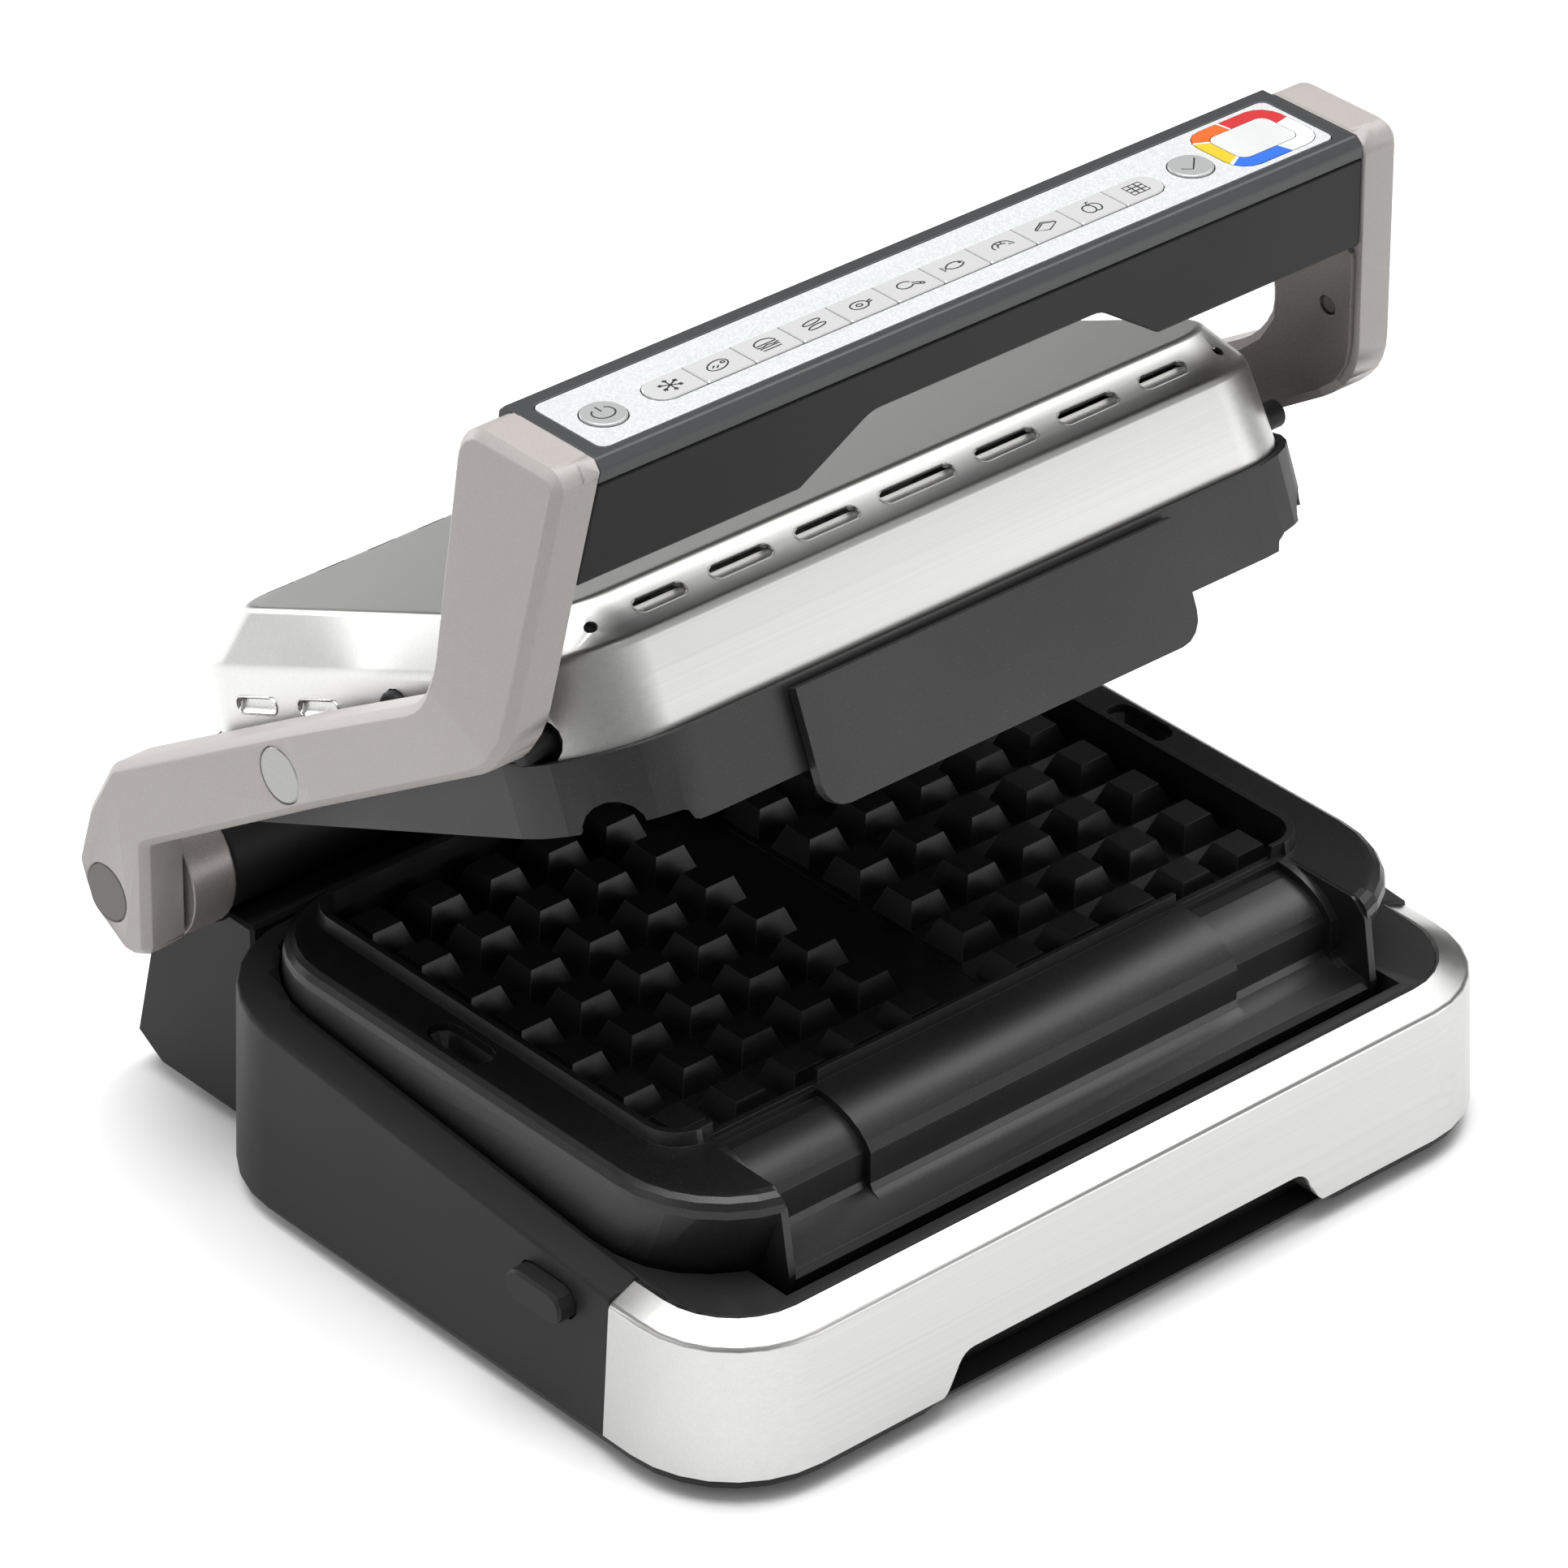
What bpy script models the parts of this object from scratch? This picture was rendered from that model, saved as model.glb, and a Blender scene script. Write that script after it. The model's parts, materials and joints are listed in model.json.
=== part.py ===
"""Contact waffle maker: base with removable lower plate, floating lid with upper plate,
and an arm frame that carries the handle and its control panel.

Three frames hold the design, each drawn with the machine closed and level:
  base frame   Y runs front (negative) to back, Z is the height above the table
  arm frame    origin on the hinge axis
  lid frame    origin on the pivot axis where the lid hangs between the arms
The empties at the end of the tree tilt the arm and lid frames to the half-open rest pose.
"""

import math

import bmesh
import bpy
from mathutils import Matrix, Vector

# ---- driving dimensions, metres -------------------------------------------------------

CENTRE_SHIFT = 0.01320          # moves the whole object so that its box is centred
GAP = 0.0003                    # clearance between neighbouring pieces

ARM_REST = math.radians(31.6)   # arms above level at rest
LID_REST = math.radians(23.2)   # lid above level at rest
HUB_Y, HUB_Z = 0.1189, 0.0903   # hinge axis in the base frame
PIVOT_Y, PIVOT_Z = -0.1219, 0.0260      # lid pivot in the arm frame
GRIP_Y, GRIP_Z = -0.2905, 0.1051        # middle of the handle's top in the arm frame

BASE_HALF = 0.1715              # half width of the base at its foot
BASE_FRONT, BASE_BACK = -0.1715, 0.0900
BASE_FLOOR = 0.0055
LEDGE_Z = 0.0570                # height of the side ledge where the steel front begins
LEDGE_SLOPE = 0.088             # the ledge climbs towards the back
TRIM_END = -0.1187              # where the steel front cover stops on each side
TRIM_WALL = 0.0011

DECK_Z = 0.0894                 # flat flange of the lower plate
PLATE_HALF = 0.1562
PLATE_FRONT, PLATE_BACK = -0.1480, 0.0800
SKIRT_TUCK = 0.0105             # the front corners lean in towards the foot of the skirt
RIM_Z = 0.0940                  # raised rim around the cooking field
FLOOR_Z = 0.0790
FIELD_HALF = 0.1316
FIELD_FRONT, FIELD_BACK = -0.1040, 0.0664
SPOUT_HALF = 0.0780
FIN_X = 0.1235

POCKET = 0.0242                 # pitch of the waffle grid
POCKET_COLUMNS, POCKET_ROWS = 5, 7
STUD_BASE, STUD_TOP, STUD_HEIGHT = 0.0090, 0.0058, 0.0090   # half sizes, then height
DIVIDER_HALF = 0.0100

LID_HALF, LID_FRONT, LID_BACK = 0.1515, -0.1255, 0.0835
LID_FOOT, LID_TOP = -0.0025, 0.0410
LID_WALL = 0.0014
UPPER_HALF, UPPER_FRONT, UPPER_BACK = 0.1556, -0.1310, 0.0872
UPPER_WALL = 0.0030
UPPER_RIM_TOP, UPPER_RIM_FOOT, UPPER_LIP_FOOT = -0.0015, -0.0242, -0.0293
CEILING_Z = -0.0120
TAB_HALF, TAB_FOOT = 0.0780, -0.0428

ARM_INNER, ARM_OUTER = 0.1600, 0.1752
BEND_START = -0.1350            # behind this the arms are straight in plan
BEND_OUT = 0.0716               # from there to the elbow they spread outwards
RAISED_TOP, RAISED_LEAN = -0.0055, 0.1425   # the raised end leans in towards its top
HUB_RADIUS = 0.0225
HUB_INNER = 0.1403
BARREL_RADIUS = 0.0208
SHAFT_RADIUS = 0.0060
PIN_RADIUS = 0.0045

HANDLE_HALF = 0.1536            # half length of the handle along its top edge
HANDLE_FLARE = 0.145            # the ends lean out towards the underside
HANDLE_DEPTH = 0.0411
PARTING = -0.0075
PANEL_HALF = 0.1480
PANEL_FRONT, PANEL_BACK = -0.0173, 0.0145
KEY_COUNT, KEY_PITCH, KEY_CENTRE_X, KEY_CENTRE_Y = 11, 0.0187, -0.0160, -0.0027
KEY_HALF_DEPTH = 0.0061
KEY_FOOT, KEY_TOP = -0.0034, 0.0005
POWER_X, OK_X, ROUND_KEY_RADIUS = -0.1350, 0.1005, 0.0072
DISPLAY_X, DISPLAY_Y = 0.1285, -0.0012
RING_HALF_X, RING_HALF_Y = 0.0176, 0.0137
LENS_HALF_X, LENS_HALF_Y = 0.0122, 0.0083

CORNER_STEPS = 7


# ---- modelling helpers ----------------------------------------------------------------

def clear_scene():
    """Remove whatever objects the scene starts with."""
    for thing in list(bpy.data.objects):
        bpy.data.objects.remove(thing)


def material(name, colour, roughness, metallic=0.0):
    """Make a Principled material."""
    made = bpy.data.materials.new(name)
    made.use_nodes = True
    shader = made.node_tree.nodes["Principled BSDF"]
    shader.inputs["Base Color"].default_value = (*colour, 1.0)
    shader.inputs["Roughness"].default_value = roughness
    shader.inputs["Metallic"].default_value = metallic
    return made


def empty(name, parent, y, z, tilt):
    """Add a frame that is tilted about the X axis."""
    made = bpy.data.objects.new(name, None)
    bpy.context.scene.collection.objects.link(made)
    made.parent = parent
    made.location = (0.0, y, z)
    made.rotation_euler = (tilt, 0.0, 0.0)
    return made


def part(name, bm, look, parent, origin=(0.0, 0.0, 0.0)):
    """Turn a bmesh into a named solid whose own origin sits at a point of its frame."""
    bmesh.ops.recalc_face_normals(bm, faces=bm.faces)
    bm.transform(Matrix.Translation(-Vector(origin)))
    mesh = bpy.data.meshes.new(name)
    bm.to_mesh(mesh)
    bm.free()
    mesh.materials.append(look)
    mesh.shade_smooth()
    mesh.set_sharp_from_angle(angle=math.radians(32))
    made = bpy.data.objects.new(name, mesh)
    bpy.context.scene.collection.objects.link(made)
    made.parent = parent
    made.location = origin
    return made


def combine(target, bm, operation, parent):
    """Cut a shape from a solid, join it, or keep only what they share."""
    tool = part(f"{target.name}_{operation.lower()}", bm, target.data.materials[0], parent)
    tool.hide_render = True
    tool.display_type = "WIRE"
    step = target.modifiers.new(operation.lower(), "BOOLEAN")
    step.operation = operation
    step.object = tool


def arc(centre, radius, start, end, steps):
    """Points along an arc, angles in degrees; radius may be a pair of half axes."""
    wide, high = radius if isinstance(radius, tuple) else (radius, radius)
    points = []
    for i in range(steps + 1):
        angle = math.radians(start + (end - start) * i / steps)
        points.append((centre[0] + wide * math.cos(angle), centre[1] + high * math.sin(angle)))
    return points


def outline(corners, steps=4):
    """Round each corner (u, v, radius) of a polygon into an arc."""
    points = []
    for i, (u, v, radius) in enumerate(corners):
        here = Vector((u, v))
        if radius == 0:
            points.append((u, v))
            continue
        back = (Vector(corners[i - 1][:2]) - here).normalized()
        ahead = (Vector(corners[(i + 1) % len(corners)][:2]) - here).normalized()
        half = back.angle(ahead) / 2
        centre = here + (back + ahead).normalized() * (radius / math.sin(half))
        first = here + back * (radius / math.tan(half)) - centre
        last = here + ahead * (radius / math.tan(half)) - centre
        turn = first.angle_signed(last)
        for k in range(steps + 1):
            spoke = first.copy()
            spoke.rotate(Matrix.Rotation(-turn * k / steps, 2))
            points.append(tuple(centre + spoke))
    return points


def capsule(centre, half_length, radius, steps=6):
    """A slot shape lying along its first axis."""
    u, v = centre
    straight = half_length - radius
    return (arc((u + straight, v), radius, -90, 90, steps)
            + arc((u - straight, v), radius, 90, 270, steps))


def circle(centre, radius, steps=24):
    """A round outline."""
    return arc(centre, radius, 0, 360, steps)[:-1]


def rounded_box(half, front, back, front_radius, back_radius, height):
    """A loop around a box in plan; height is a number or a function of y."""
    loop = (arc((half - front_radius, front + front_radius), front_radius, -90, 0, CORNER_STEPS)
            + arc((half - back_radius, back - back_radius), back_radius, 0, 90, CORNER_STEPS)
            + arc((back_radius - half, back - back_radius), back_radius, 90, 180, CORNER_STEPS)
            + arc((front_radius - half, front + front_radius), front_radius, 180, 270,
                  CORNER_STEPS))
    return [(x, y, height(y) if callable(height) else height) for x, y in loop]


def flat_loop(points, axis, level):
    """Lift a 2-D outline into space, square to an axis."""
    if axis == "X":
        return [(level, u, v) for u, v in points]
    if axis == "Y":
        return [(u, level, v) for u, v in points]
    return [(u, v, level) for u, v in points]


def loft(loops, bm=None, joined=False):
    """Skin a row of loops; the ends are capped, or joined to each other as a tube."""
    bm = bm or bmesh.new()
    rows = [[bm.verts.new(point) for point in loop] for loop in loops]
    pairs = list(zip(rows, rows[1:]))
    if joined:
        pairs.append((rows[-1], rows[0]))
    else:
        bm.faces.new(rows[0])
        bm.faces.new(rows[-1])
    for low, high in pairs:
        for i in range(len(low)):
            k = (i + 1) % len(low)
            bm.faces.new((low[i], low[k], high[k], high[i]))
    return bm


def softened(loops, reach):
    """Add loops that round every fold between the first loop and the last."""
    rounded = [loops[0]]
    for before, here, after in zip(loops, loops[1:], loops[2:]):
        rows = []
        for points in zip(before, here, after):
            back, corner, ahead = (Vector(point) for point in points)
            start = corner + (back - corner) * min(0.4, reach / (back - corner).length)
            end = corner + (ahead - corner) * min(0.4, reach / (ahead - corner).length)
            rows.append([tuple(start * (1 - t) ** 2 + corner * 2 * t * (1 - t) + end * t ** 2)
                         for t in (0.0, 1 / 3, 2 / 3, 1.0)])
        rounded += [list(loop) for loop in zip(*rows)]
    rounded.append(loops[-1])
    return rounded


def drawn_in(corners, depth):
    """The same (u, v, radius) polygon, counter-clockwise, with its sides moved inwards."""
    moved = []
    for i, (u, v, radius) in enumerate(corners):
        here = Vector((u, v))
        back = (Vector(corners[i - 1][:2]) - here).normalized()
        ahead = (Vector(corners[(i + 1) % len(corners)][:2]) - here).normalized()
        turn = 1 if ahead.x * back.y - ahead.y * back.x > 0 else -1
        shift = (back + ahead).normalized() * (turn * depth / math.sin(back.angle(ahead) / 2))
        moved.append((*(here + shift), max(0.0006, radius - turn * depth)))
    return moved


def prism(points, axis, low, high, bm=None):
    """Extrude a 2-D outline along an axis."""
    return loft([flat_loop(points, axis, low), flat_loop(points, axis, high)], bm)


def box(x, y, z, bm=None):
    """A plain block between two values on each axis."""
    corners = [(x[0], y[0]), (x[1], y[0]), (x[1], y[1]), (x[0], y[1])]
    return prism(corners, "Z", z[0], z[1], bm)


def turned(profile, axis, centre=(0.0, 0.0), steps=24, bore=None, bm=None):
    """A turned piece from (position, radius) pairs, solid or with a straight bore."""
    loops = [flat_loop(circle(centre, radius, steps), axis, at) for at, radius in profile]
    if bore is None:
        return loft(loops, bm)
    for at in (profile[-1][0], profile[0][0]):
        loops.append(flat_loop(circle(centre, bore, steps), axis, at))
    return loft(loops, bm, joined=True)


# ---- base -----------------------------------------------------------------------------

def ledge_height(y):
    """Height of the base's side wall, which climbs behind the steel front."""
    return LEDGE_Z + max(0.0, y - TRIM_END) * LEDGE_SLOPE


def base_loop(inset, height):
    """The base outline in plan, drawn in by an inset."""
    return rounded_box(BASE_HALF - inset, BASE_FRONT + inset, BASE_BACK - inset,
                       0.040 - inset, 0.044 - inset, height)


def notch(depth):
    """The shallow finger notch in the middle of the front's lower edge."""
    corners = [(-0.0920, 0.0035, 0), (0.0920, 0.0035, 0), (0.0798, 0.0098, 0.010),
               (0.0728, 0.0224, 0.007), (-0.0728, 0.0224, 0.007), (-0.0798, 0.0098, 0.010)]
    return prism(outline(corners, 4), "Y", BASE_FRONT - 0.010, BASE_FRONT + depth)


def base_housing(look, frame):
    """Black ring-shaped body that the lower plate sits in."""
    inner = (0.1570, -0.1404, 0.0808, 0.0448, 0.0388)
    loops = softened([base_loop(0.0, BASE_FLOOR + 0.0020),
                      base_loop(0.0016, ledge_height),
                      base_loop(0.0115, lambda y: ledge_height(y) + 0.0036)], 0.0016)
    loops = [base_loop(0.0006, BASE_FLOOR), *loops,
             rounded_box(inner[0] + 0.0006, inner[1] - 0.0006, inner[2] + 0.0006, 0.0454, 0.0394,
                         lambda y: ledge_height(y) + 0.0036),
             rounded_box(*inner, lambda y: ledge_height(y) + 0.0030),
             rounded_box(*inner, BASE_FLOOR)]
    housing = part("base_housing", loft(loops, joined=True), look, frame)
    recess = [base_loop(-0.008, 0.0087), base_loop(-0.008, 0.080),
              base_loop(0.0129, 0.080), base_loop(0.0129, 0.0590),
              base_loop(0.0027, 0.0549), base_loop(0.0004 + TRIM_WALL, 0.0087)]
    combine(housing, clipped(recess, TRIM_END + GAP), "DIFFERENCE", frame)
    combine(housing, notch(0.0125), "DIFFERENCE", frame)
    combine(housing, release_pockets(), "DIFFERENCE", frame)
    combine(housing, box((-0.1305, 0.1305), (-0.1545, -0.1000), (-0.010, 0.100)),
            "DIFFERENCE", frame)
    return housing


def clipped(loops, limit):
    """A tube-shaped loft cut off behind y = limit."""
    bm = loft(loops, joined=True)
    cut = bmesh.ops.bisect_plane(bm, geom=bm.verts[:] + bm.edges[:] + bm.faces[:],
                                 plane_co=(0.0, limit, 0.0), plane_no=(0.0, 1.0, 0.0),
                                 clear_outer=True)
    edges = [item for item in cut["geom_cut"] if isinstance(item, bmesh.types.BMEdge)]
    bmesh.ops.holes_fill(bm, edges=edges)
    return bm


def front_trim(look, frame):
    """Brushed steel cover around the front and both front corners."""
    loops = [*softened([base_loop(-0.0011, 0.0090), base_loop(0.0013, 0.0562),
                        base_loop(0.0115, 0.0606)], 0.0018),
             *softened([base_loop(0.0125, 0.0595), base_loop(0.0023, 0.0553),
                        base_loop(TRIM_WALL, 0.0090)], 0.0014)]
    trim = part("front_trim", clipped(loops, TRIM_END), look, frame)
    combine(trim, notch(0.0125), "DIFFERENCE", frame)


def rear_housing(look, frame):
    """Narrower block behind the base that carries the hinge barrel."""
    bed = 0.0221
    top = 0.0757
    swing = math.degrees(math.asin((HUB_Z - top) / bed))
    saddle = arc((HUB_Y, HUB_Z), bed, -swing, swing - 180, 10)
    section = ([(BASE_BACK + GAP, BASE_FLOOR), (0.1320, BASE_FLOOR), (0.1458, 0.0120),
                (0.1404, 0.0600), (0.1392, 0.0700), (0.1368, top)] + saddle
               + [(BASE_BACK + GAP, top), (BASE_BACK + GAP, 0.0600)])
    loops = [[(side * (0.1400 + max(0.0, 0.0600 - z) * 0.115), y, z) for y, z in section]
             for side in (-1, 1)]
    block = part("rear_housing", loft(loops), look, frame)
    bevel = block.modifiers.new("soft edges", "BEVEL")
    bevel.width = 0.0012
    bevel.segments = 1
    bevel.limit_method = "ANGLE"
    bevel.angle_limit = math.radians(50)
    combine(block, box((-0.134, 0.134), (0.080, 0.130), (0.011, 0.064)), "DIFFERENCE", frame)
    combine(block, prism(circle((0.095, 0.032), 0.0075, 16), "Y", 0.120, 0.160),
            "DIFFERENCE", frame)


def cord_gland(look, frame):
    """Empty cable gland in the back wall."""
    profile = [(0.1310, 0.0071), (0.1462, 0.0071)]
    part("cord_gland", turned(profile, "Y", (0.095, 0.032), 16, bore=0.0038), look, frame)


def base_pan(look, frame):
    """Sheet that closes the base from below, with a field of cooling slots."""
    low, high = 0.0032, BASE_FLOOR - GAP
    pan = part("base_pan", loft([base_loop(0.005, low), base_loop(0.004, high)]), look, frame)
    slots = bmesh.new()
    for row in range(6):
        for side in (-1, 1):
            prism(capsule((side * 0.045, -0.075 + 0.018 * row), 0.028, 0.0028, 4),
                  "Z", 0.0, 0.010, slots)
    combine(pan, slots, "DIFFERENCE", frame)


def feet(look, frame):
    """Four rubber feet: two under the pan, two taller ones under the rear block."""
    spots = {"foot_front_left": (-0.140, -0.135, 0.0029), "foot_front_right": (0.140, -0.135, 0.0029),
             "foot_back_left": (-0.112, 0.117, 0.0052), "foot_back_right": (0.112, 0.117, 0.0052)}
    for name, (x, y, top) in spots.items():
        profile = [(0.0, 0.0105), (0.0008, 0.0115), (top, 0.0115)]
        part(name, turned(profile, "Z", (x, y), 20), look, frame)


def heater(name, look, frame, front, back, half, height, radius):
    """Bent heating rod: three hairpins side by side."""
    lanes = 6
    pitch = 2 * half / (lanes - 1)
    bend = pitch / 2
    route = []
    for lane in range(lanes):
        x = -half + lane * pitch
        ends = (front, back) if lane % 2 == 0 else (back, front)
        route.append((x, ends[0]))
        route.append((x, ends[1]))
        if lane < lanes - 1:
            side = 1 if lane % 2 == 0 else -1
            for step in range(1, 5):
                angle = math.pi * step / 5
                route.append((x + bend * (1 - math.cos(angle)),
                              ends[1] + side * bend * math.sin(angle)))
    curve = bpy.data.curves.new(name, "CURVE")
    curve.dimensions = "3D"
    curve.bevel_depth = radius
    curve.bevel_resolution = 1
    curve.use_fill_caps = True
    curve.materials.append(look)
    spline = curve.splines.new("POLY")
    spline.points.add(len(route) - 1)
    for point, (x, y) in zip(spline.points, route):
        point.co = (x, y, height, 1.0)
    made = bpy.data.objects.new(name, curve)
    bpy.context.scene.collection.objects.link(made)
    made.parent = frame


def lower_reflector(look, frame):
    """Polished tray under the lower heating rod."""
    loops = [rounded_box(0.112, -0.082, 0.052, 0.02, 0.02, 0.0612),
             rounded_box(0.128, -0.098, 0.066, 0.02, 0.02, 0.0612),
             rounded_box(0.131, -0.101, 0.069, 0.02, 0.02, 0.0740),
             rounded_box(0.130, -0.100, 0.068, 0.02, 0.02, 0.0740),
             rounded_box(0.127, -0.097, 0.065, 0.02, 0.02, 0.0622),
             rounded_box(0.112, -0.082, 0.052, 0.02, 0.02, 0.0622)]
    part("lower_reflector", loft(loops), look, frame)


def release_pockets():
    """Capsule recess on each side wall for the plate release button."""
    bm = bmesh.new()
    for side in (-1, 1):
        prism(capsule(RELEASE_SPOT, 0.0137, 0.0064, 5), "X", side * 0.1552, side * 0.1800, bm)
    return bm


RELEASE_SPOT = (-0.0905, 0.0470)


def release_button(name, side, look, frame):
    """Push button that frees the lower plate; it slides inwards."""
    loops = [flat_loop(capsule(RELEASE_SPOT, 0.0070, 0.0045, 5), "X", side * 0.1490),
             flat_loop(capsule(RELEASE_SPOT, 0.0070, 0.0045, 5), "X", side * 0.1620),
             flat_loop(capsule(RELEASE_SPOT, 0.0130, 0.0057, 5), "X", side * 0.1620),
             flat_loop(capsule(RELEASE_SPOT, 0.0130, 0.0057, 5), "X", side * 0.1757),
             flat_loop(capsule(RELEASE_SPOT, 0.0120, 0.0047, 5), "X", side * 0.1767)]
    origin = (side * 0.1715, *RELEASE_SPOT)
    part(name, loft(loops), look, frame, origin)


def power_board(look, frame):
    """Circuit board on the floor of the base."""
    part("power_board", box((-0.060, 0.060), (0.010, 0.070), (0.0180, 0.0196)), look, frame)


# ---- plates ---------------------------------------------------------------------------

def stud_field(x0, y0, floor, height, sink):
    """Grid of tapered studs on a thin slab; a negative height points them down."""
    bm = bmesh.new()
    lift = math.copysign(sink, height)
    xs = [x0 + POCKET * i for i in range(POCKET_COLUMNS + 1)]
    ys = [y0 + POCKET * j for j in range(POCKET_ROWS + 1)]
    grid = [[bm.verts.new((x, y, floor + lift * 0.4)) for y in ys] for x in xs]
    for i in range(POCKET_COLUMNS):
        for j in range(POCKET_ROWS):
            centre = (xs[i] + POCKET / 2, ys[j] + POCKET / 2)
            rings = [[grid[i][j], grid[i + 1][j], grid[i + 1][j + 1], grid[i][j + 1]]]
            for half, z in ((STUD_BASE, floor + lift * 0.4), (STUD_TOP, floor + height)):
                rings.append([bm.verts.new((centre[0] + a * half, centre[1] + b * half, z))
                              for a, b in ((-1, -1), (1, -1), (1, 1), (-1, 1))])
            for inner, outer in zip(rings[1:], rings):
                for k in range(4):
                    bm.faces.new((outer[k], outer[(k + 1) % 4], inner[(k + 1) % 4], inner[k]))
            bm.faces.new(rings[-1])
    under = [bm.verts.new((x, y, floor - lift)) for x, y in
             ((xs[0], ys[0]), (xs[-1], ys[0]), (xs[-1], ys[-1]), (xs[0], ys[-1]))]
    bm.faces.new(under)
    bm.faces.new([under[0], *[column[0] for column in grid], under[1]])
    bm.faces.new([under[1], *grid[-1], under[2]])
    bm.faces.new([under[2], *[column[-1] for column in reversed(grid)], under[3]])
    bm.faces.new([under[3], *reversed(grid[0]), under[0]])
    return bm


def plate_loop(half_inset, height, tuck=0.0):
    """The lower plate's outline in plan, drawn in by an inset, its front also tucked back."""
    return rounded_box(PLATE_HALF - half_inset, PLATE_FRONT + half_inset + tuck,
                       PLATE_BACK - half_inset, 0.044 - half_inset, 0.038 - half_inset, height)


def field_loop(grow, height):
    """The cooking field's outline in plan, pushed out by an amount."""
    return rounded_box(FIELD_HALF + grow, FIELD_FRONT - grow, FIELD_BACK + grow,
                       0.009 + grow, 0.009 + grow, height)


def front_sheet(step_back, thickness):
    """Section of the plate's curved front, from the rim down to the trough's lip."""
    hub = (FIELD_FRONT - 0.0045, 0.0730)
    wide, high = 0.0266 - step_back, DECK_Z - 0.0730 - step_back
    skin = arc(hub, (-wide, high), 90, 18, 6)
    foot = skin[-1][0]
    lining = arc(hub, (thickness - wide, high - thickness), 18, 90, 5)
    return ([(FIELD_FRONT - 0.0010, DECK_Z - step_back)] + skin
            + [(foot, 0.0668), (foot - 0.0012, 0.0646), (-0.1385, 0.0630),
               (-0.1472, 0.0616), (-0.1490, 0.0595), (-0.1490, 0.0560), (-0.1468, 0.0560),
               (-0.1460, 0.0585), (-0.1385, 0.0594), (foot + 0.0008, 0.0620),
               (foot + thickness, 0.0668)]
            + lining + [(FIELD_FRONT - 0.0038, 0.0768), (FIELD_FRONT - 0.0010, 0.0768)])


def lower_plate(look, frame):
    """Die-cast lower plate: flange, rim, two waffle fields and a curved front."""
    def skirt(y):
        return ledge_height(y) - 0.0015
    loops = [field_loop(0.0030, 0.0763), field_loop(0.0062, 0.0864),
             plate_loop(0.0040, 0.0864), plate_loop(0.0030, skirt, SKIRT_TUCK),
             plate_loop(0.0, skirt, SKIRT_TUCK),
             plate_loop(0.0006, 0.0834), plate_loop(0.0011, 0.0860), plate_loop(0.0025, 0.0880),
             plate_loop(0.0046, 0.0891), plate_loop(0.0070, DECK_Z),
             field_loop(0.0046, DECK_Z), field_loop(0.0036, RIM_Z), field_loop(0.0012, RIM_Z),
             field_loop(0.0, FLOOR_Z)]
    plate = part("lower_plate", loft(loops), look, frame)
    reach = PLATE_FRONT - 0.010
    combine(plate, box((-FIN_X, FIN_X), (reach, FIELD_FRONT - 0.0030), (0.050, 0.100)),
            "DIFFERENCE", frame)
    gaps = bmesh.new()
    for side in (-1, 1):
        lane = sorted((side * (SPOUT_HALF - 0.002), side * 0.1185))
        box(lane, (FIELD_FRONT - 0.012, FIELD_FRONT + 0.0015), (DECK_Z, 0.100), gaps)
    combine(plate, gaps, "DIFFERENCE", frame)
    combine(plate, prism(front_sheet(0.0, 0.0050), "X", -SPOUT_HALF, SPOUT_HALF),
            "UNION", frame)
    fin = outline([(-0.1050, 0.0892, 0), (-0.1400, 0.0892, 0.004), (-0.1455, 0.0840, 0.004),
                   (-0.1495, 0.0620, 0), (-0.1495, 0.0560, 0), (-0.1440, 0.0560, 0),
                   (-0.1050, 0.0640, 0)], 3)
    for side in (-1, 1):
        wing = sorted((side * (SPOUT_HALF - 0.001), side * (FIN_X + 0.001)))
        combine(plate, prism(front_sheet(0.0030, 0.0050), "X", *wing), "UNION", frame)
        frame_side = sorted((side * (FIN_X - 0.0042), side * (FIN_X + 0.001)))
        combine(plate, prism(front_sheet(0.0, 0.0050), "X", *frame_side), "UNION", frame)
        combine(plate, box(wing, (FIELD_FRONT - 0.0050, FIELD_FRONT - 0.0020),
                           (0.0800, DECK_Z - 0.0002)), "UNION", frame)
        blade = sorted((side * (FIN_X - 0.0012), side * (FIN_X + 0.0016)))
        combine(plate, prism(fin, "X", *blade), "UNION", frame)
    for side in (-1, 1):
        x0 = DIVIDER_HALF if side > 0 else -DIVIDER_HALF - POCKET * POCKET_COLUMNS
        y0 = (FIELD_FRONT + FIELD_BACK - POCKET * POCKET_ROWS) / 2
        combine(plate, stud_field(x0, y0, FLOOR_Z, STUD_HEIGHT, 0.0008), "UNION", frame)
    combine(plate, finger_bosses(), "UNION", frame)
    combine(plate, finger_dimples(), "DIFFERENCE", frame)


def finger_bosses():
    """Material under the flange for the lifting dimples."""
    bm = bmesh.new()
    for side in (-1, 1):
        prism(capsule_y(side * 0.1444, -0.0190, 0.0160, 0.0072), "Z", 0.0800, 0.0880, bm)
    return bm


def finger_dimples():
    """Oval dimple in the flange on each side, for lifting the plate."""
    bm = bmesh.new()
    for side in (-1, 1):
        spot = (side * 0.1444, -0.0190)
        loft([flat_loop(capsule_y(*spot, 0.0098, 0.0026), "Z", 0.0820),
              flat_loop(capsule_y(*spot, 0.0132, 0.0050), "Z", 0.0866),
              flat_loop(capsule_y(*spot, 0.0138, 0.0058), "Z", 0.0910)], bm)
    return bm


def capsule_y(x, y, half_length, radius):
    """A slot shape lying along Y."""
    return [(x + v, y + u) for u, v in capsule((0.0, 0.0), half_length, radius, 5)]


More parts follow.
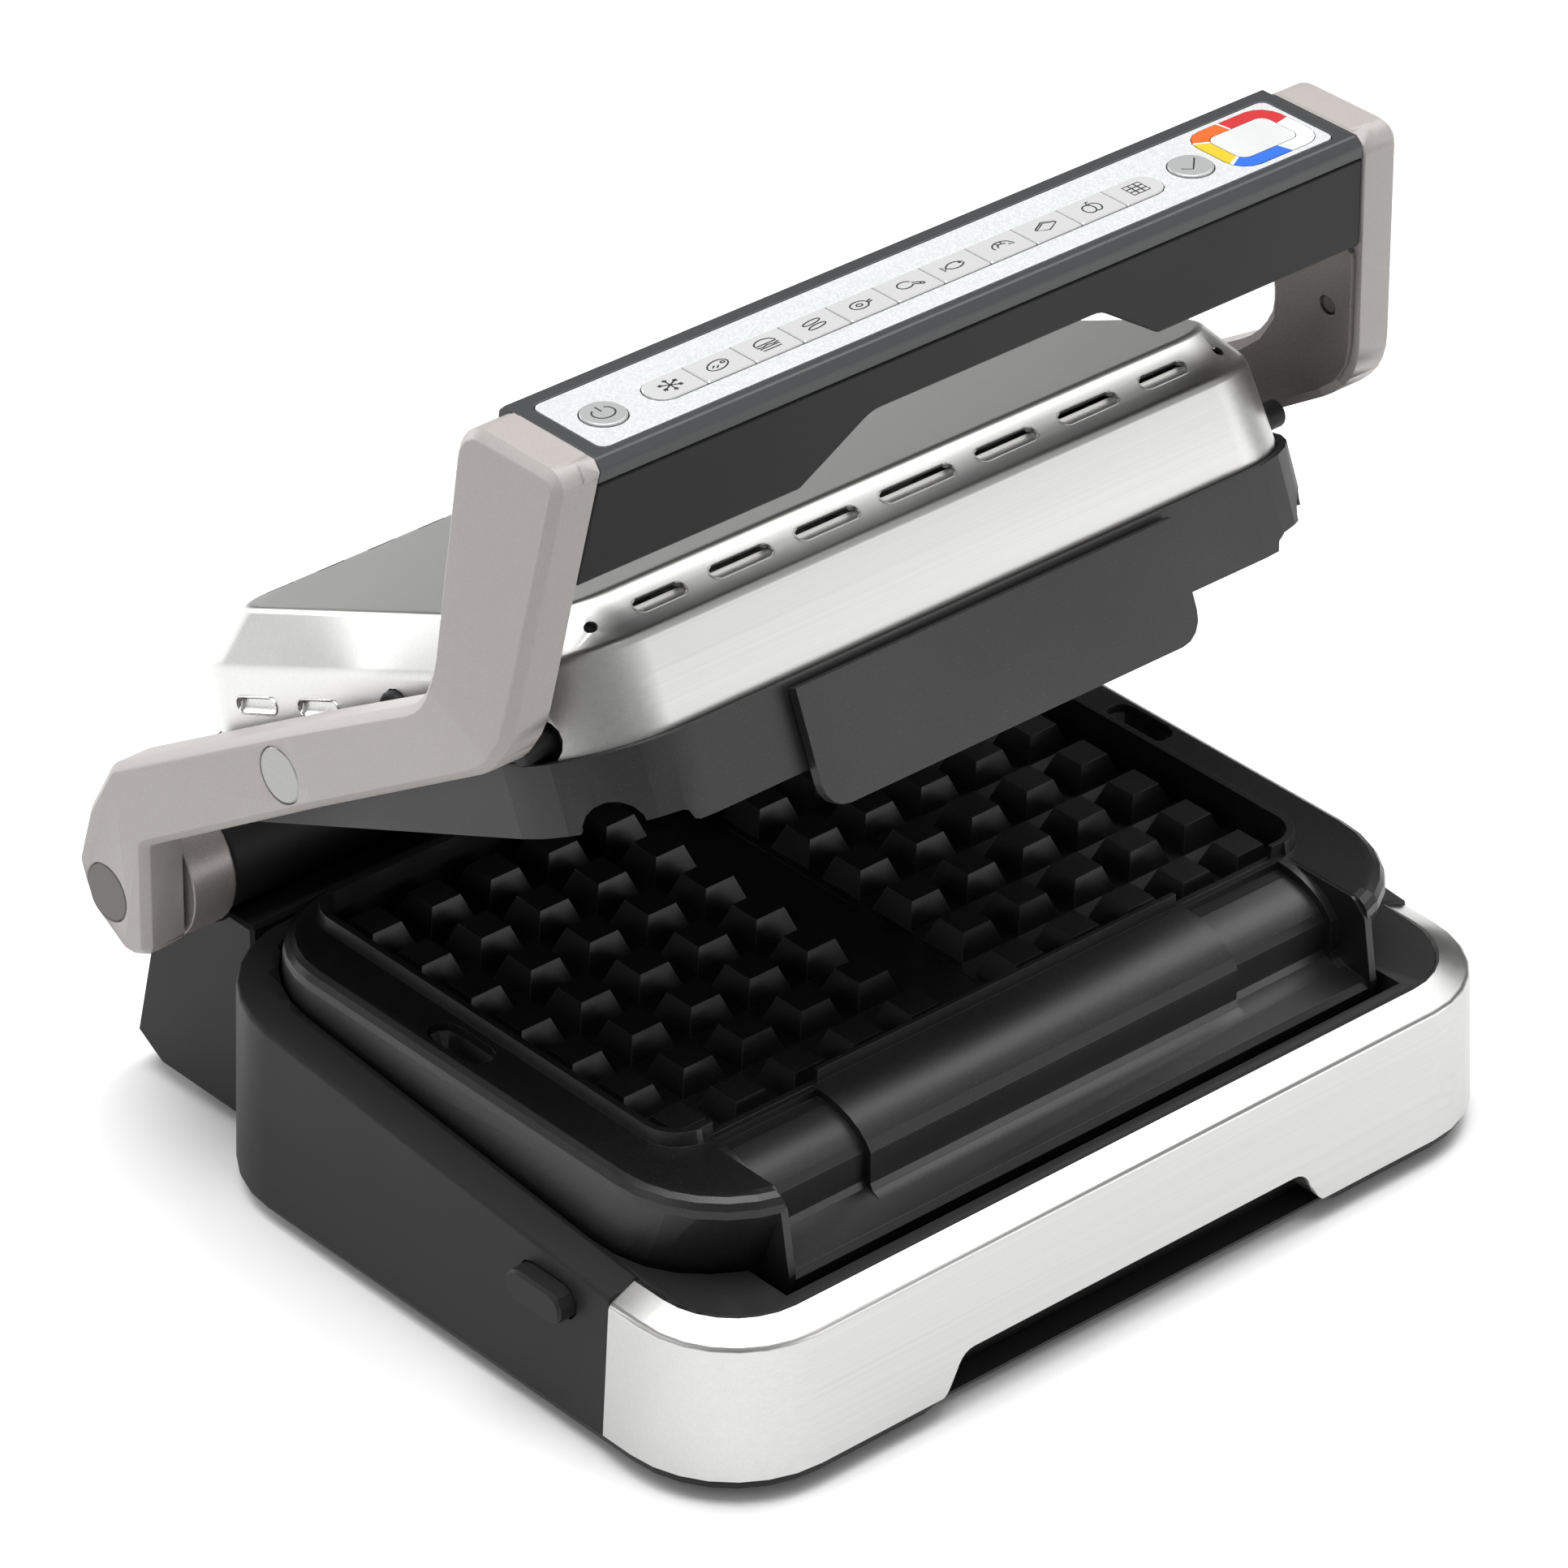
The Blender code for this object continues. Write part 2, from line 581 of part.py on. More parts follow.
def upper_foot(y):
    """Lower edge of the upper plate's wall: deeper along the front."""
    blend = min(1.0, max(0.0, (UPPER_FRONT + 0.006 - y) / 0.005))
    return UPPER_RIM_FOOT + (UPPER_LIP_FOOT - UPPER_RIM_FOOT) * blend


def upper_loop(inset, height):
    """The upper plate's outline in plan, drawn in by an inset."""
    return rounded_box(UPPER_HALF - inset, UPPER_FRONT + inset, UPPER_BACK - inset,
                       0.042 - inset, 0.031 - inset, height)


def upper_plate(look, frame):
    """Die-cast upper plate: deep wall, hanging waffle fields and the front flap."""
    loops = [upper_loop(UPPER_WALL, CEILING_Z + 0.0026), upper_loop(UPPER_WALL, UPPER_RIM_TOP),
             upper_loop(0.0, UPPER_RIM_TOP), upper_loop(0.0, upper_foot),
             upper_loop(UPPER_WALL, lambda y: upper_foot(y - UPPER_WALL)),
             upper_loop(UPPER_WALL, CEILING_Z)]
    plate = part("upper_plate", loft(loops), look, frame)
    flap = outline([(-TAB_HALF, -0.0034, 0), (-TAB_HALF, TAB_FOOT, 0.009),
                    (TAB_HALF, TAB_FOOT, 0.009), (TAB_HALF, -0.0034, 0)], 4)
    combine(plate, prism(flap, "Y", UPPER_FRONT - 0.0045, UPPER_FRONT - 0.0009),
            "UNION", frame)
    root = [(-TAB_HALF + 0.004, -0.0060), (TAB_HALF - 0.004, -0.0060),
            (TAB_HALF - 0.004, -0.0270), (-TAB_HALF + 0.004, -0.0270)]
    combine(plate, prism(root, "Y", UPPER_FRONT - 0.0020, UPPER_FRONT + 0.0015),
            "UNION", frame)
    ring = [field_loop_upper(0.0004, CEILING_Z + 0.0010), field_loop_upper(0.0004, -0.0214),
            field_loop_upper(0.0028, -0.0214), field_loop_upper(0.0028, CEILING_Z + 0.0010)]
    combine(plate, loft(ring, joined=True), "UNION", frame)
    lid_y = HUB_Y + PIVOT_Y
    for side in (-1, 1):
        x0 = DIVIDER_HALF if side > 0 else -DIVIDER_HALF - POCKET * POCKET_COLUMNS
        y0 = (FIELD_FRONT + FIELD_BACK - POCKET * POCKET_ROWS) / 2 - lid_y
        combine(plate, stud_field(x0, y0, CEILING_Z, -STUD_HEIGHT, 0.0008), "UNION", frame)
    combine(plate, corner_arches(), "DIFFERENCE", frame)
    combine(plate, lip_ends(), "DIFFERENCE", frame)
    combine(plate, pivot_bores(0.0056), "DIFFERENCE", frame)


def field_loop_upper(grow, height):
    """The cooking field's outline, seen from the lid frame."""
    lid_y = HUB_Y + PIVOT_Y
    return [(x, y - lid_y, z) for x, y, z in field_loop(grow, height)]


def corner_arches():
    """Arched relief in the wall at each front corner."""
    bm = bmesh.new()
    for side in (-1, 1):
        loops = []
        for reach in (-0.012, 0.012):
            middle = Vector((side * (0.1445 + reach * 0.76), -0.1195 - reach * 0.65))
            along = Vector((0.65 * side, 0.76)) * side
            loops.append([(middle.x + along.x * u, middle.y + along.y * u, v)
                          for u, v in circle((0.0, -0.0265), 0.0105, 16)])
        loft(loops, bm)
    return bm


def lip_ends():
    """Rising ends of the deep front lip, clear of the lower plate's side fins."""
    bm = bmesh.new()
    for side in (-1, 1):
        corners = [(0.1195, -0.0400), (0.1195, -0.0300), (0.1212, -0.0262), (0.1245, -0.0247),
                   (0.1400, -0.0243), (0.1400, -0.0400)]
        prism([(side * u, v) for u, v in corners], "Y", UPPER_FRONT - 0.0015,
              UPPER_FRONT + 0.0140, bm)
    return bm


def pivot_bores(radius):
    """Round clearance for the pivot pins through both side walls."""
    bm = bmesh.new()
    for side in (-1, 1):
        prism(circle((0.0, 0.0), radius, 16), "X", *sorted((side * 0.1480, side * 0.1600)), bm)
    return bm


# ---- lid ------------------------------------------------------------------------------

def shoulder(y):
    """Height of the line where the lid's wall turns in, higher along the front."""
    rise = min(1.0, max(0.0, (-0.095 - y) / 0.020))
    return 0.0245 + 0.0033 * rise


def lid_shell(look, frame):
    """Brushed steel lid cover: low walls, sloped shoulders and a flat top."""
    def rings(inset):
        top = LID_TOP - inset
        return softened([
            rounded_box(LID_HALF - inset, LID_FRONT + inset, LID_BACK - inset,
                        0.034 - inset, 0.028 - inset, LID_FOOT),
            rounded_box(0.1498 - inset, -0.1229 + inset, 0.0805 - inset,
                        0.033 - inset, 0.026 - inset, lambda y: shoulder(y) - inset * 0.3),
            rounded_box(0.1412 - inset, -0.1098 + inset, 0.0555 - inset,
                        0.024 - inset, 0.014 - inset, top),
            rounded_box(0.1330 - inset, -0.1016 + inset, 0.0473 - inset,
                        0.016 - inset, 0.006 - inset, top)], 0.0020)
    outer, inner = rings(0.0), rings(LID_WALL)
    shell = part("lid_shell", loft([*reversed(outer), *inner]), look, frame)
    combine(shell, lid_slots(), "DIFFERENCE", frame)
    combine(shell, pivot_bores(0.0056), "DIFFERENCE", frame)
    combine(shell, guide_openings(), "DIFFERENCE", frame)


def lid_slots():
    """Cooling slots on the front shoulder, side walls and back, and two corner holes."""
    bm = bmesh.new()
    front = {0.0: 0.0150, 0.0368: 0.0125, 0.0714: 0.0122, 0.1036: 0.0100}
    tilt = Matrix.Translation((0.0, -0.1163, 0.0343)) @ Matrix.Rotation(math.radians(45), 4, "X")
    for place, half in front.items():
        for x in sorted({place, -place}):
            loops = [flat_loop(capsule((x, 0.0), half, 0.0026, 3), "Z", level)
                     for level in (-0.005, 0.005)]
            loft([[tuple(tilt @ Vector(point)) for point in loop] for loop in loops], bm)
    for side in (-1, 1):
        loops = [flat_loop(circle((side * 0.1290, 0.0010), 0.0021, 12), "Z", level)
                 for level in (-0.009, 0.004)]
        loft([[tuple(tilt @ Vector(point)) for point in loop] for loop in loops], bm)
        for y in (0.0402, 0.0068, -0.0650):
            prism(capsule((y, 0.0125), 0.0105, 0.0026, 3), "X",
                  *sorted((side * 0.1440, side * 0.1560)), bm)
        prism(circle((-0.0350, 0.0135), 0.0066, 14), "X",
              *sorted((side * 0.1440, side * 0.1560)), bm)
    for k in range(-6, 7):
        x = 0.0203 * k
        box((x - 0.0058, x + 0.0058), (0.0528, 0.0560), (0.0300, 0.0460), bm)
    return bm


def guide_openings():
    """Round opening near each front corner where the guide pin leaves the lid."""
    bm = bmesh.new()
    for side in (-1, 1):
        prism(circle(GUIDE_SPOT, 0.0080, 16), "X", *sorted((side * 0.1380, side * 0.1600)), bm)
    return bm


GUIDE_SPOT = (-0.1010, 0.0040)


def guide_pin(name, side, look, frame):
    """Black peg that keeps the lid centred between the arms."""
    profile = [(side * 0.1400, 0.0060), (side * 0.1440, 0.0060), (side * 0.1440, 0.0046),
               (side * 0.1566, 0.0046), (side * 0.1573, 0.0038)]
    part(name, turned(profile, "X", GUIDE_SPOT, 16), look, frame)


def pivot_block(name, side, look, frame):
    """Bearing block inside the lid that turns on the pivot pin."""
    block = part(name, box(sorted((side * 0.1390, side * 0.1475)), (-0.010, 0.010),
                           (-0.0088, 0.0110)), look, frame)
    combine(block, prism(circle((0.0, 0.0), PIN_RADIUS + GAP, 16), "X",
                         *sorted((side * 0.1300, side * 0.1600))), "DIFFERENCE", frame)


def upper_reflector(look, frame):
    """Polished sheet above the upper heating rod."""
    loops = [rounded_box(0.110, -0.086, 0.048, 0.02, 0.02, 0.0100),
             rounded_box(0.126, -0.102, 0.064, 0.02, 0.02, 0.0100),
             rounded_box(0.128, -0.104, 0.066, 0.02, 0.02, -0.0030),
             rounded_box(0.129, -0.105, 0.067, 0.02, 0.02, -0.0030),
             rounded_box(0.127, -0.103, 0.065, 0.02, 0.02, 0.0110),
             rounded_box(0.110, -0.086, 0.048, 0.02, 0.02, 0.0110)]
    part("upper_reflector", loft(loops), look, frame)


def lid_release(name, side, look, frame):
    """Round push button in the lid's side wall that frees the upper plate."""
    profile = [(side * 0.1400, 0.0040), (side * 0.1460, 0.0040), (side * 0.1460, 0.0062),
               (side * 0.1522, 0.0062), (side * 0.1530, 0.0054)]
    centre = (-0.0350, 0.0135)
    part(name, turned(profile, "X", centre, 16), look, frame, (side * 0.1500, *centre))


# ---- arm frame ------------------------------------------------------------------------

ARM_CORNERS = [(-0.2717, 0.1174, 0.0110), (-0.3116, 0.0928, 0.0070),
               (-0.2510, 0.0156, 0.034), (-0.0306, 0.0116, 0.003), (-0.0090, -0.0230, 0.0050),
               (0.0030, -0.0215, 0.0060), (0.0130, -0.0030, 0.010), (0.0105, 0.0135, 0.008),
               (-0.0060, 0.0280, 0.010), (-0.0280, 0.0400, 0.014), (-0.2240, 0.0395, 0.028)]


def bent(bm, side):
    """Spread a straight arm piece towards the elbow and lean its raised end inwards."""
    tilt = Matrix.Rotation(-ARM_REST, 3, "X")
    top = (tilt @ Vector((0.0, GRIP_Y, GRIP_Z))).z

    def bar(point):
        return max(0.0, BEND_OUT * (BEND_START - point.y))

    def raised(point):
        return RAISED_TOP + RAISED_LEAN * (top - (tilt @ point).z)

    up = tilt.inverted() @ Vector((0.0, 0.0, 1.0))
    fold = Vector((0.0, -BEND_OUT, 0.0)) + RAISED_LEAN * up
    offset = RAISED_TOP + RAISED_LEAN * top - BEND_OUT * BEND_START
    for origin, normal in ((Vector((0.0, BEND_START, 0.0)), Vector((0.0, 1.0, 0.0))),
                           (fold * (offset / fold.length_squared), fold.normalized())):
        bmesh.ops.bisect_plane(bm, geom=bm.verts[:] + bm.edges[:] + bm.faces[:],
                               plane_co=origin, plane_no=normal, dist=0.00001)
    for vert in bm.verts:
        vert.co.x += side * min(bar(vert.co), raised(vert.co))
    return bm


def handle_end(depth):
    """Half length of the handle at a height below its top."""
    return HANDLE_HALF - depth * HANDLE_FLARE


SEAT_SECTION = [(0.0150, 0.0), (-0.0207, 0.0), (-0.0236, -0.0029), (-0.0232, -0.0062),
                (-0.0191, -HANDLE_DEPTH), (0.0150, -HANDLE_DEPTH + 0.0022)]
HANDLE_SECTION = [(0.0220, -0.0020), (0.0200, 0.0), (-0.0207, 0.0), (-0.0236, -0.0029),
                  (-0.0232, -0.0062), (-0.0191, -HANDLE_DEPTH), (0.0180, -HANDLE_DEPTH + 0.003),
                  (0.0205, -HANDLE_DEPTH + 0.007)]


def arm(name, side, look, frame, grip):
    """L-shaped arm: hub leg, level bar and raised end that holds the handle."""
    edge = [(0.0030, 0.0), (0.0024, 0.0003), (0.0003, 0.0024), (0.0, 0.0030)]
    loops = [flat_loop(outline(ARM_CORNERS, 6), "X", side * ARM_INNER)]
    loops += [flat_loop(outline(drawn_in(ARM_CORNERS, depth), 6), "X",
                        side * (ARM_OUTER - step)) for step, depth in edge]
    made = part(name, bent(loft(loops), side), look, frame)
    seat = [[(side * (handle_end(z) + 0.0060), y, z) for y, z in SEAT_SECTION],
            [(side * (handle_end(z) + GAP), y, z) for y, z in SEAT_SECTION]]
    combine(made, loft(seat), "UNION", grip)
    bores = bmesh.new()
    for centre, bore in (((0.0, 0.0), SHAFT_RADIUS + GAP), ((PIVOT_Y, PIVOT_Z), PIN_RADIUS + GAP)):
        prism(circle(centre, bore, 20), "X", side * 0.1500, side * 0.1742, bores)
    combine(made, bores, "DIFFERENCE", frame)
    seats = bmesh.new()
    for centre, seat_radius in (((0.0, 0.0), 0.0103), ((PIVOT_Y, PIVOT_Z), 0.0097)):
        prism(circle(centre, seat_radius, 28), "X", side * 0.1732, side * 0.1792, seats)
    combine(made, seats, "DIFFERENCE", frame)


def arm_cover(name, side, look, frame):
    """Inner cover plate of an arm, drawn in from the arm's outline."""
    corners = [(-0.2525, 0.0809, 0.003), (-0.2825, 0.0596, 0.004), (-0.2497, 0.0184, 0.031),
               (-0.0290, 0.0144, 0.003), (-0.0080, -0.0200, 0.004), (0.0020, -0.0190, 0.005),
               (0.0108, -0.0030, 0.008), (0.0085, 0.0125, 0.006), (-0.0070, 0.0260, 0.008),
               (-0.0285, 0.0372, 0.010), (-0.2256, 0.0367, 0.031)]
    loops = [flat_loop(outline(corners, 3), "X", side * level)
             for level in (0.1578, ARM_INNER - GAP)]
    made = part(name, bent(loft(loops), side), look, frame)
    bores = bmesh.new()
    for centre, bore in (((0.0, 0.0), SHAFT_RADIUS + GAP), ((PIVOT_Y, PIVOT_Z), PIN_RADIUS + GAP),
                         (SCREW_SPOT, 0.0036)):
        prism(circle(centre, bore, 16), "X", side * 0.1500, side * 0.1650, bores)
    combine(made, bores, "DIFFERENCE", frame)


SCREW_SPOT = (-0.2576, 0.0440)


def cover_screw(name, side, look, frame):
    """Cover screw sunk in its hole."""
    profile = [(side * (ARM_INNER - GAP), 0.0032), (side * 0.1588, 0.0032),
               (side * 0.1584, 0.0026)]
    part(name, bent(turned(profile, "X", SCREW_SPOT, 14), side), look, frame)


def hub(name, side, look, frame):
    """Round hub between the arm and the hinge barrel."""
    profile = [(side * HUB_INNER, HUB_RADIUS - 0.0008), (side * (HUB_INNER + 0.0008), HUB_RADIUS),
               (side * 0.1575, HUB_RADIUS)]
    part(name, turned(profile, "X", steps=32, bore=SHAFT_RADIUS + GAP), look, frame)


def disc(name, side, centre, radius, look, frame):
    """Thin cap set flush in the arm's outer face."""
    profile = [(side * 0.1735, radius), (side * 0.1748, radius), (side * 0.1752, radius - 0.0006)]
    part(name, turned(profile, "X", centre, 28), look, frame)


def pivot_pin(name, side, look, frame):
    """Steel pin through the arm that the lid hangs on."""
    profile = [(side * 0.1400, PIN_RADIUS), (side * 0.1716, PIN_RADIUS)]
    part(name, turned(profile, "X", (PIVOT_Y, PIVOT_Z), 20), look, frame)


def split_section(low, high):
    """The part of the handle's section between two heights."""
    points = []
    ring = HANDLE_SECTION
    for i, here in enumerate(ring):
        ahead = ring[(i + 1) % len(ring)]
        if low <= here[1] <= high:
            points.append(here)
        for level in (low, high):
            if (here[1] - level) * (ahead[1] - level) < 0:
                share = (level - here[1]) / (ahead[1] - here[1])
                points.append((here[0] + share * (ahead[0] - here[0]), level))
    return points


def handle_body(name, low, high, look, grip):
    """One shell of the handle between two heights, its ends leaning out downwards."""
    section = split_section(low, high)
    loops = [[(side * handle_end(z), y, z) for y, z in section] for side in (-1, 1)]
    return part(name, loft(loops), look, grip)


def handle(look, grip):
    """Upper shell with its panel pockets, and lower shell with the finger arch."""
    top = handle_body("handle_top", PARTING + GAP, 0.001, look, grip)
    combine(top, prism(panel_outline(GAP), "Z", -0.0014, 0.010), "DIFFERENCE", grip)
    pockets = bmesh.new()
    prism(key_strip(0.0), "Z", -0.0046, 0.010, pockets)
    for x in (POWER_X, OK_X):
        prism(circle((x, KEY_CENTRE_Y), ROUND_KEY_RADIUS + 0.0004, 24), "Z", -0.0046, 0.010,
              pockets)
    combine(top, pockets, "DIFFERENCE", grip)
    low = handle_body("handle_bottom", -0.100, PARTING, look, grip)
    arch = outline([(-0.0790, -0.0450, 0), (0.0790, -0.0450, 0), (0.0465, -0.0235, 0.012),
                    (-0.0465, -0.0235, 0.012)], 4)
    combine(low, prism(arch, "Y", -0.040, 0.040), "DIFFERENCE", grip)
    combine(low, box((-0.1480, 0.1480), (-0.0185, 0.0175), (-0.0200, 0.010)),
            "DIFFERENCE", grip)


def panel_outline(grow):
    """Outline of the control panel."""
    half, front, back = PANEL_HALF + grow, PANEL_FRONT - grow, PANEL_BACK + grow
    return outline([(-half, front, 0.003), (half, front, 0.003), (half, back, 0.003),
                    (-half, back, 0.003)], 3)


def key_strip(shrink):
    """Outline of the slot that the whole row of keys shares."""
    half = KEY_COUNT * KEY_PITCH / 2 + GAP - shrink
    return capsule((KEY_CENTRE_X, KEY_CENTRE_Y), half, KEY_HALF_DEPTH + GAP - shrink, 7)


def rounded_rectangle(centre, half_u, half_v, radius, steps=4):
    """A rectangle with round corners."""
    u, v = centre
    return outline([(u - half_u, v - half_v, radius), (u + half_u, v - half_v, radius),
                    (u + half_u, v + half_v, radius), (u - half_u, v + half_v, radius)], steps)


def control_panel(look, grip):
    """Thin panel in the handle's top, with openings for keys and display."""
    panel = part("control_panel", prism(panel_outline(0.0), "Z", -0.0011, 0.0), look, grip)
    holes = prism(key_strip(0.0), "Z", -0.010, 0.010)
    for x in (POWER_X, OK_X):
        prism(circle((x, KEY_CENTRE_Y), ROUND_KEY_RADIUS + 0.0004, 24), "Z", -0.010, 0.010, holes)
    prism(rounded_rectangle((DISPLAY_X, DISPLAY_Y), RING_HALF_X + GAP, RING_HALF_Y + GAP, 0.008),
          "Z", -0.010, 0.010, holes)
    combine(panel, holes, "DIFFERENCE", grip)


def display(ring_look, lens_look, grip):
    """Coloured ring around a clear window."""
    spot = (DISPLAY_X, DISPLAY_Y)
    ring = part("display_ring", prism(rounded_rectangle(spot, RING_HALF_X, RING_HALF_Y, 0.0077),
                                      "Z", -0.0011, 0.0), ring_look, grip)
    window = rounded_rectangle(spot, LENS_HALF_X + GAP, LENS_HALF_Y + GAP, 0.0038)
    combine(ring, prism(window, "Z", -0.010, 0.010), "DIFFERENCE", grip)
    part("display_lens", prism(rounded_rectangle(spot, LENS_HALF_X, LENS_HALF_Y, 0.0035),
                               "Z", -0.0011, 0.0001), lens_look, grip)


def key_outline(index, shrink):
    """Outline of one key; the first and last have a round outer end."""
    left = KEY_CENTRE_X + (index - KEY_COUNT / 2) * KEY_PITCH + 0.0002 + shrink
    right = left + KEY_PITCH - 0.0004 - 2 * shrink
    low, high = KEY_CENTRE_Y - KEY_HALF_DEPTH + shrink, KEY_CENTRE_Y + KEY_HALF_DEPTH - shrink
    round_end = KEY_HALF_DEPTH - shrink - 0.0001
    first = round_end if index == 0 else 0.0004
    last = round_end if index == KEY_COUNT - 1 else 0.0004
    return outline([(left, low, first), (right, low, last), (right, high, last),
                    (left, high, first)], 5 if round_end in (first, last) else 1)


def keys(look, grip):
    """Row of programme keys and the two round keys beside it."""
    for index in range(KEY_COUNT):
        x = KEY_CENTRE_X + (index + 0.5 - KEY_COUNT / 2) * KEY_PITCH
        loops = [flat_loop(key_outline(index, 0.0), "Z", KEY_FOOT),
                 flat_loop(key_outline(index, 0.0), "Z", KEY_TOP - 0.0003),
                 flat_loop(key_outline(index, 0.0003), "Z", KEY_TOP)]
        part(f"key_{index + 1:02d}", loft(loops), look, grip, (x, KEY_CENTRE_Y, 0.0))
    for name, x in (("power_button", POWER_X), ("ok_button", OK_X)):
        profile = [(KEY_FOOT, ROUND_KEY_RADIUS), (KEY_TOP - 0.0002, ROUND_KEY_RADIUS),
                   (KEY_TOP + 0.0002, ROUND_KEY_RADIUS - 0.0005)]
        part(name, turned(profile, "Z", (x, KEY_CENTRE_Y), 24), look, grip,
             (x, KEY_CENTRE_Y, 0.0))


def control_board(look, grip):
    """Circuit board under the keys."""
    part("control_board", box((-0.1440, 0.1440), (-0.0160, 0.0150), (-0.0130, -0.0114)),
         look, grip)


def hinge(barrel_look, shaft_look, frame):
    """Fixed barrel between the hubs and the shaft that runs right through."""
    profile = [(-0.1398, BARREL_RADIUS - 0.001), (-0.1388, BARREL_RADIUS),
               (0.1388, BARREL_RADIUS), (0.1398, BARREL_RADIUS - 0.001)]
    part("hinge_barrel", turned(profile, "X", (HUB_Y, HUB_Z), 32, bore=SHAFT_RADIUS + GAP),
         barrel_look, frame)
    part("hinge_shaft", turned([(-0.1716, SHAFT_RADIUS), (0.1716, SHAFT_RADIUS)], "X",
                               (HUB_Y, HUB_Z), 20), shaft_look, frame)


# ---- assembly -------------------------------------------------------------------------

def build_base(looks, frame):
    """Everything that stands still."""
    base_housing(looks["black"], frame)
    front_trim(looks["steel"], frame)
    rear_housing(looks["black"], frame)
    hinge(looks["black"], looks["plain_steel"], frame)
    cord_gland(looks["rubber"], frame)
    base_pan(looks["black"], frame)
    feet(looks["rubber"], frame)
    heater("lower_heater", looks["rod"], frame, -0.072, 0.040, 0.095, 0.0705, 0.0032)
    lower_reflector(looks["foil"], frame)
    power_board(looks["board"], frame)
    lower_plate(looks["coating"], frame)


def build_arms(looks, frame, grip):
    """The arm frame with the handle and its controls."""
    for word, side in (("left", -1), ("right", 1)):
        arm(f"arm_{word}", side, looks["taupe"], frame, grip)
        arm_cover(f"arm_cover_{word}", side, looks["dark_taupe"], frame)
        cover_screw(f"cover_screw_{word}", side, looks["plain_steel"], frame)
        hub(f"hub_{word}", side, looks["dark_taupe"], frame)
        disc(f"hub_cap_{word}", side, (0.0, 0.0), 0.0100, looks["dark_taupe"], frame)
        disc(f"pivot_cap_{word}", side, (PIVOT_Y, PIVOT_Z), 0.0094, looks["steel"], frame)
        pivot_pin(f"pivot_pin_{word}", side, looks["plain_steel"], frame)
    handle(looks["black"], grip)
    control_panel(looks["silver"], grip)
    display(looks["ring"], looks["lens"], grip)
    control_board(looks["board"], grip)
    keys(looks["key"], grip)


def build_lid(looks, frame):
    """The lid with its plate."""
    lid_shell(looks["steel"], frame)
    upper_plate(looks["coating"], frame)
    upper_reflector(looks["foil"], frame)
    heater("upper_heater", looks["rod"], frame, -0.070, 0.032, 0.095, -0.0030, 0.0032)
    for word, side in (("left", -1), ("right", 1)):
        guide_pin(f"guide_pin_{word}", side, looks["black"], frame)
        pivot_block(f"pivot_block_{word}", side, looks["rod"], frame)
        lid_release(f"lid_release_{word}", side, looks["black"], frame)


def main():
    """Build the frames, then every piece."""
    clear_scene()
    looks = {
        "steel": material("brushed_steel", (0.78, 0.77, 0.75), 0.28, 1.0),
        "plain_steel": material("plain_steel", (0.62, 0.62, 0.62), 0.30, 1.0),
        "black": material("black_plastic", (0.022, 0.022, 0.024), 0.45),
        "coating": material("non_stick", (0.012, 0.012, 0.013), 0.42, 0.1),
        "taupe": material("taupe_plastic", (0.36, 0.33, 0.32), 0.38),
        "dark_taupe": material("taupe_metallic", (0.20, 0.18, 0.17), 0.35, 0.4),
        "silver": material("silver_panel", (0.72, 0.73, 0.73), 0.35, 0.3),
        "key": material("key_silver", (0.70, 0.70, 0.70), 0.30, 0.2),
        "ring": material("display_ring", (0.30, 0.45, 0.80), 0.35),
        "lens": material("display_lens", (0.80, 0.80, 0.80), 0.12),
        "rubber": material("rubber", (0.015, 0.015, 0.015), 0.8),
        "rod": material("heater_rod", (0.25, 0.24, 0.23), 0.45, 0.9),
        "foil": material("aluminised_sheet", (0.70, 0.70, 0.70), 0.30, 1.0),
        "board": material("circuit_board", (0.02, 0.16, 0.07), 0.5),
    }
    base_frame = empty("base_frame", None, CENTRE_SHIFT, 0.0, 0.0)
    arm_frame = empty("arm_frame", base_frame, HUB_Y, HUB_Z, -ARM_REST)
    lid_frame = empty("lid_frame", arm_frame, PIVOT_Y, PIVOT_Z, ARM_REST - LID_REST)
    grip_frame = empty("grip_frame", arm_frame, GRIP_Y, GRIP_Z, ARM_REST)
    build_base(looks, base_frame)
    for word, side in (("left", -1), ("right", 1)):
        release_button(f"release_button_{word}", side, looks["black"], base_frame)
    build_arms(looks, arm_frame, grip_frame)
    build_lid(looks, lid_frame)


main()
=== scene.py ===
"""Looks of the half-open waffle maker: smooth pieces built from the CAD nodes, some of them
rounded, paint on the rest, procedural materials, key symbols and small trim, and a pale studio."""

import json
import math

import bmesh
import bpy
from mathutils import Matrix, Vector


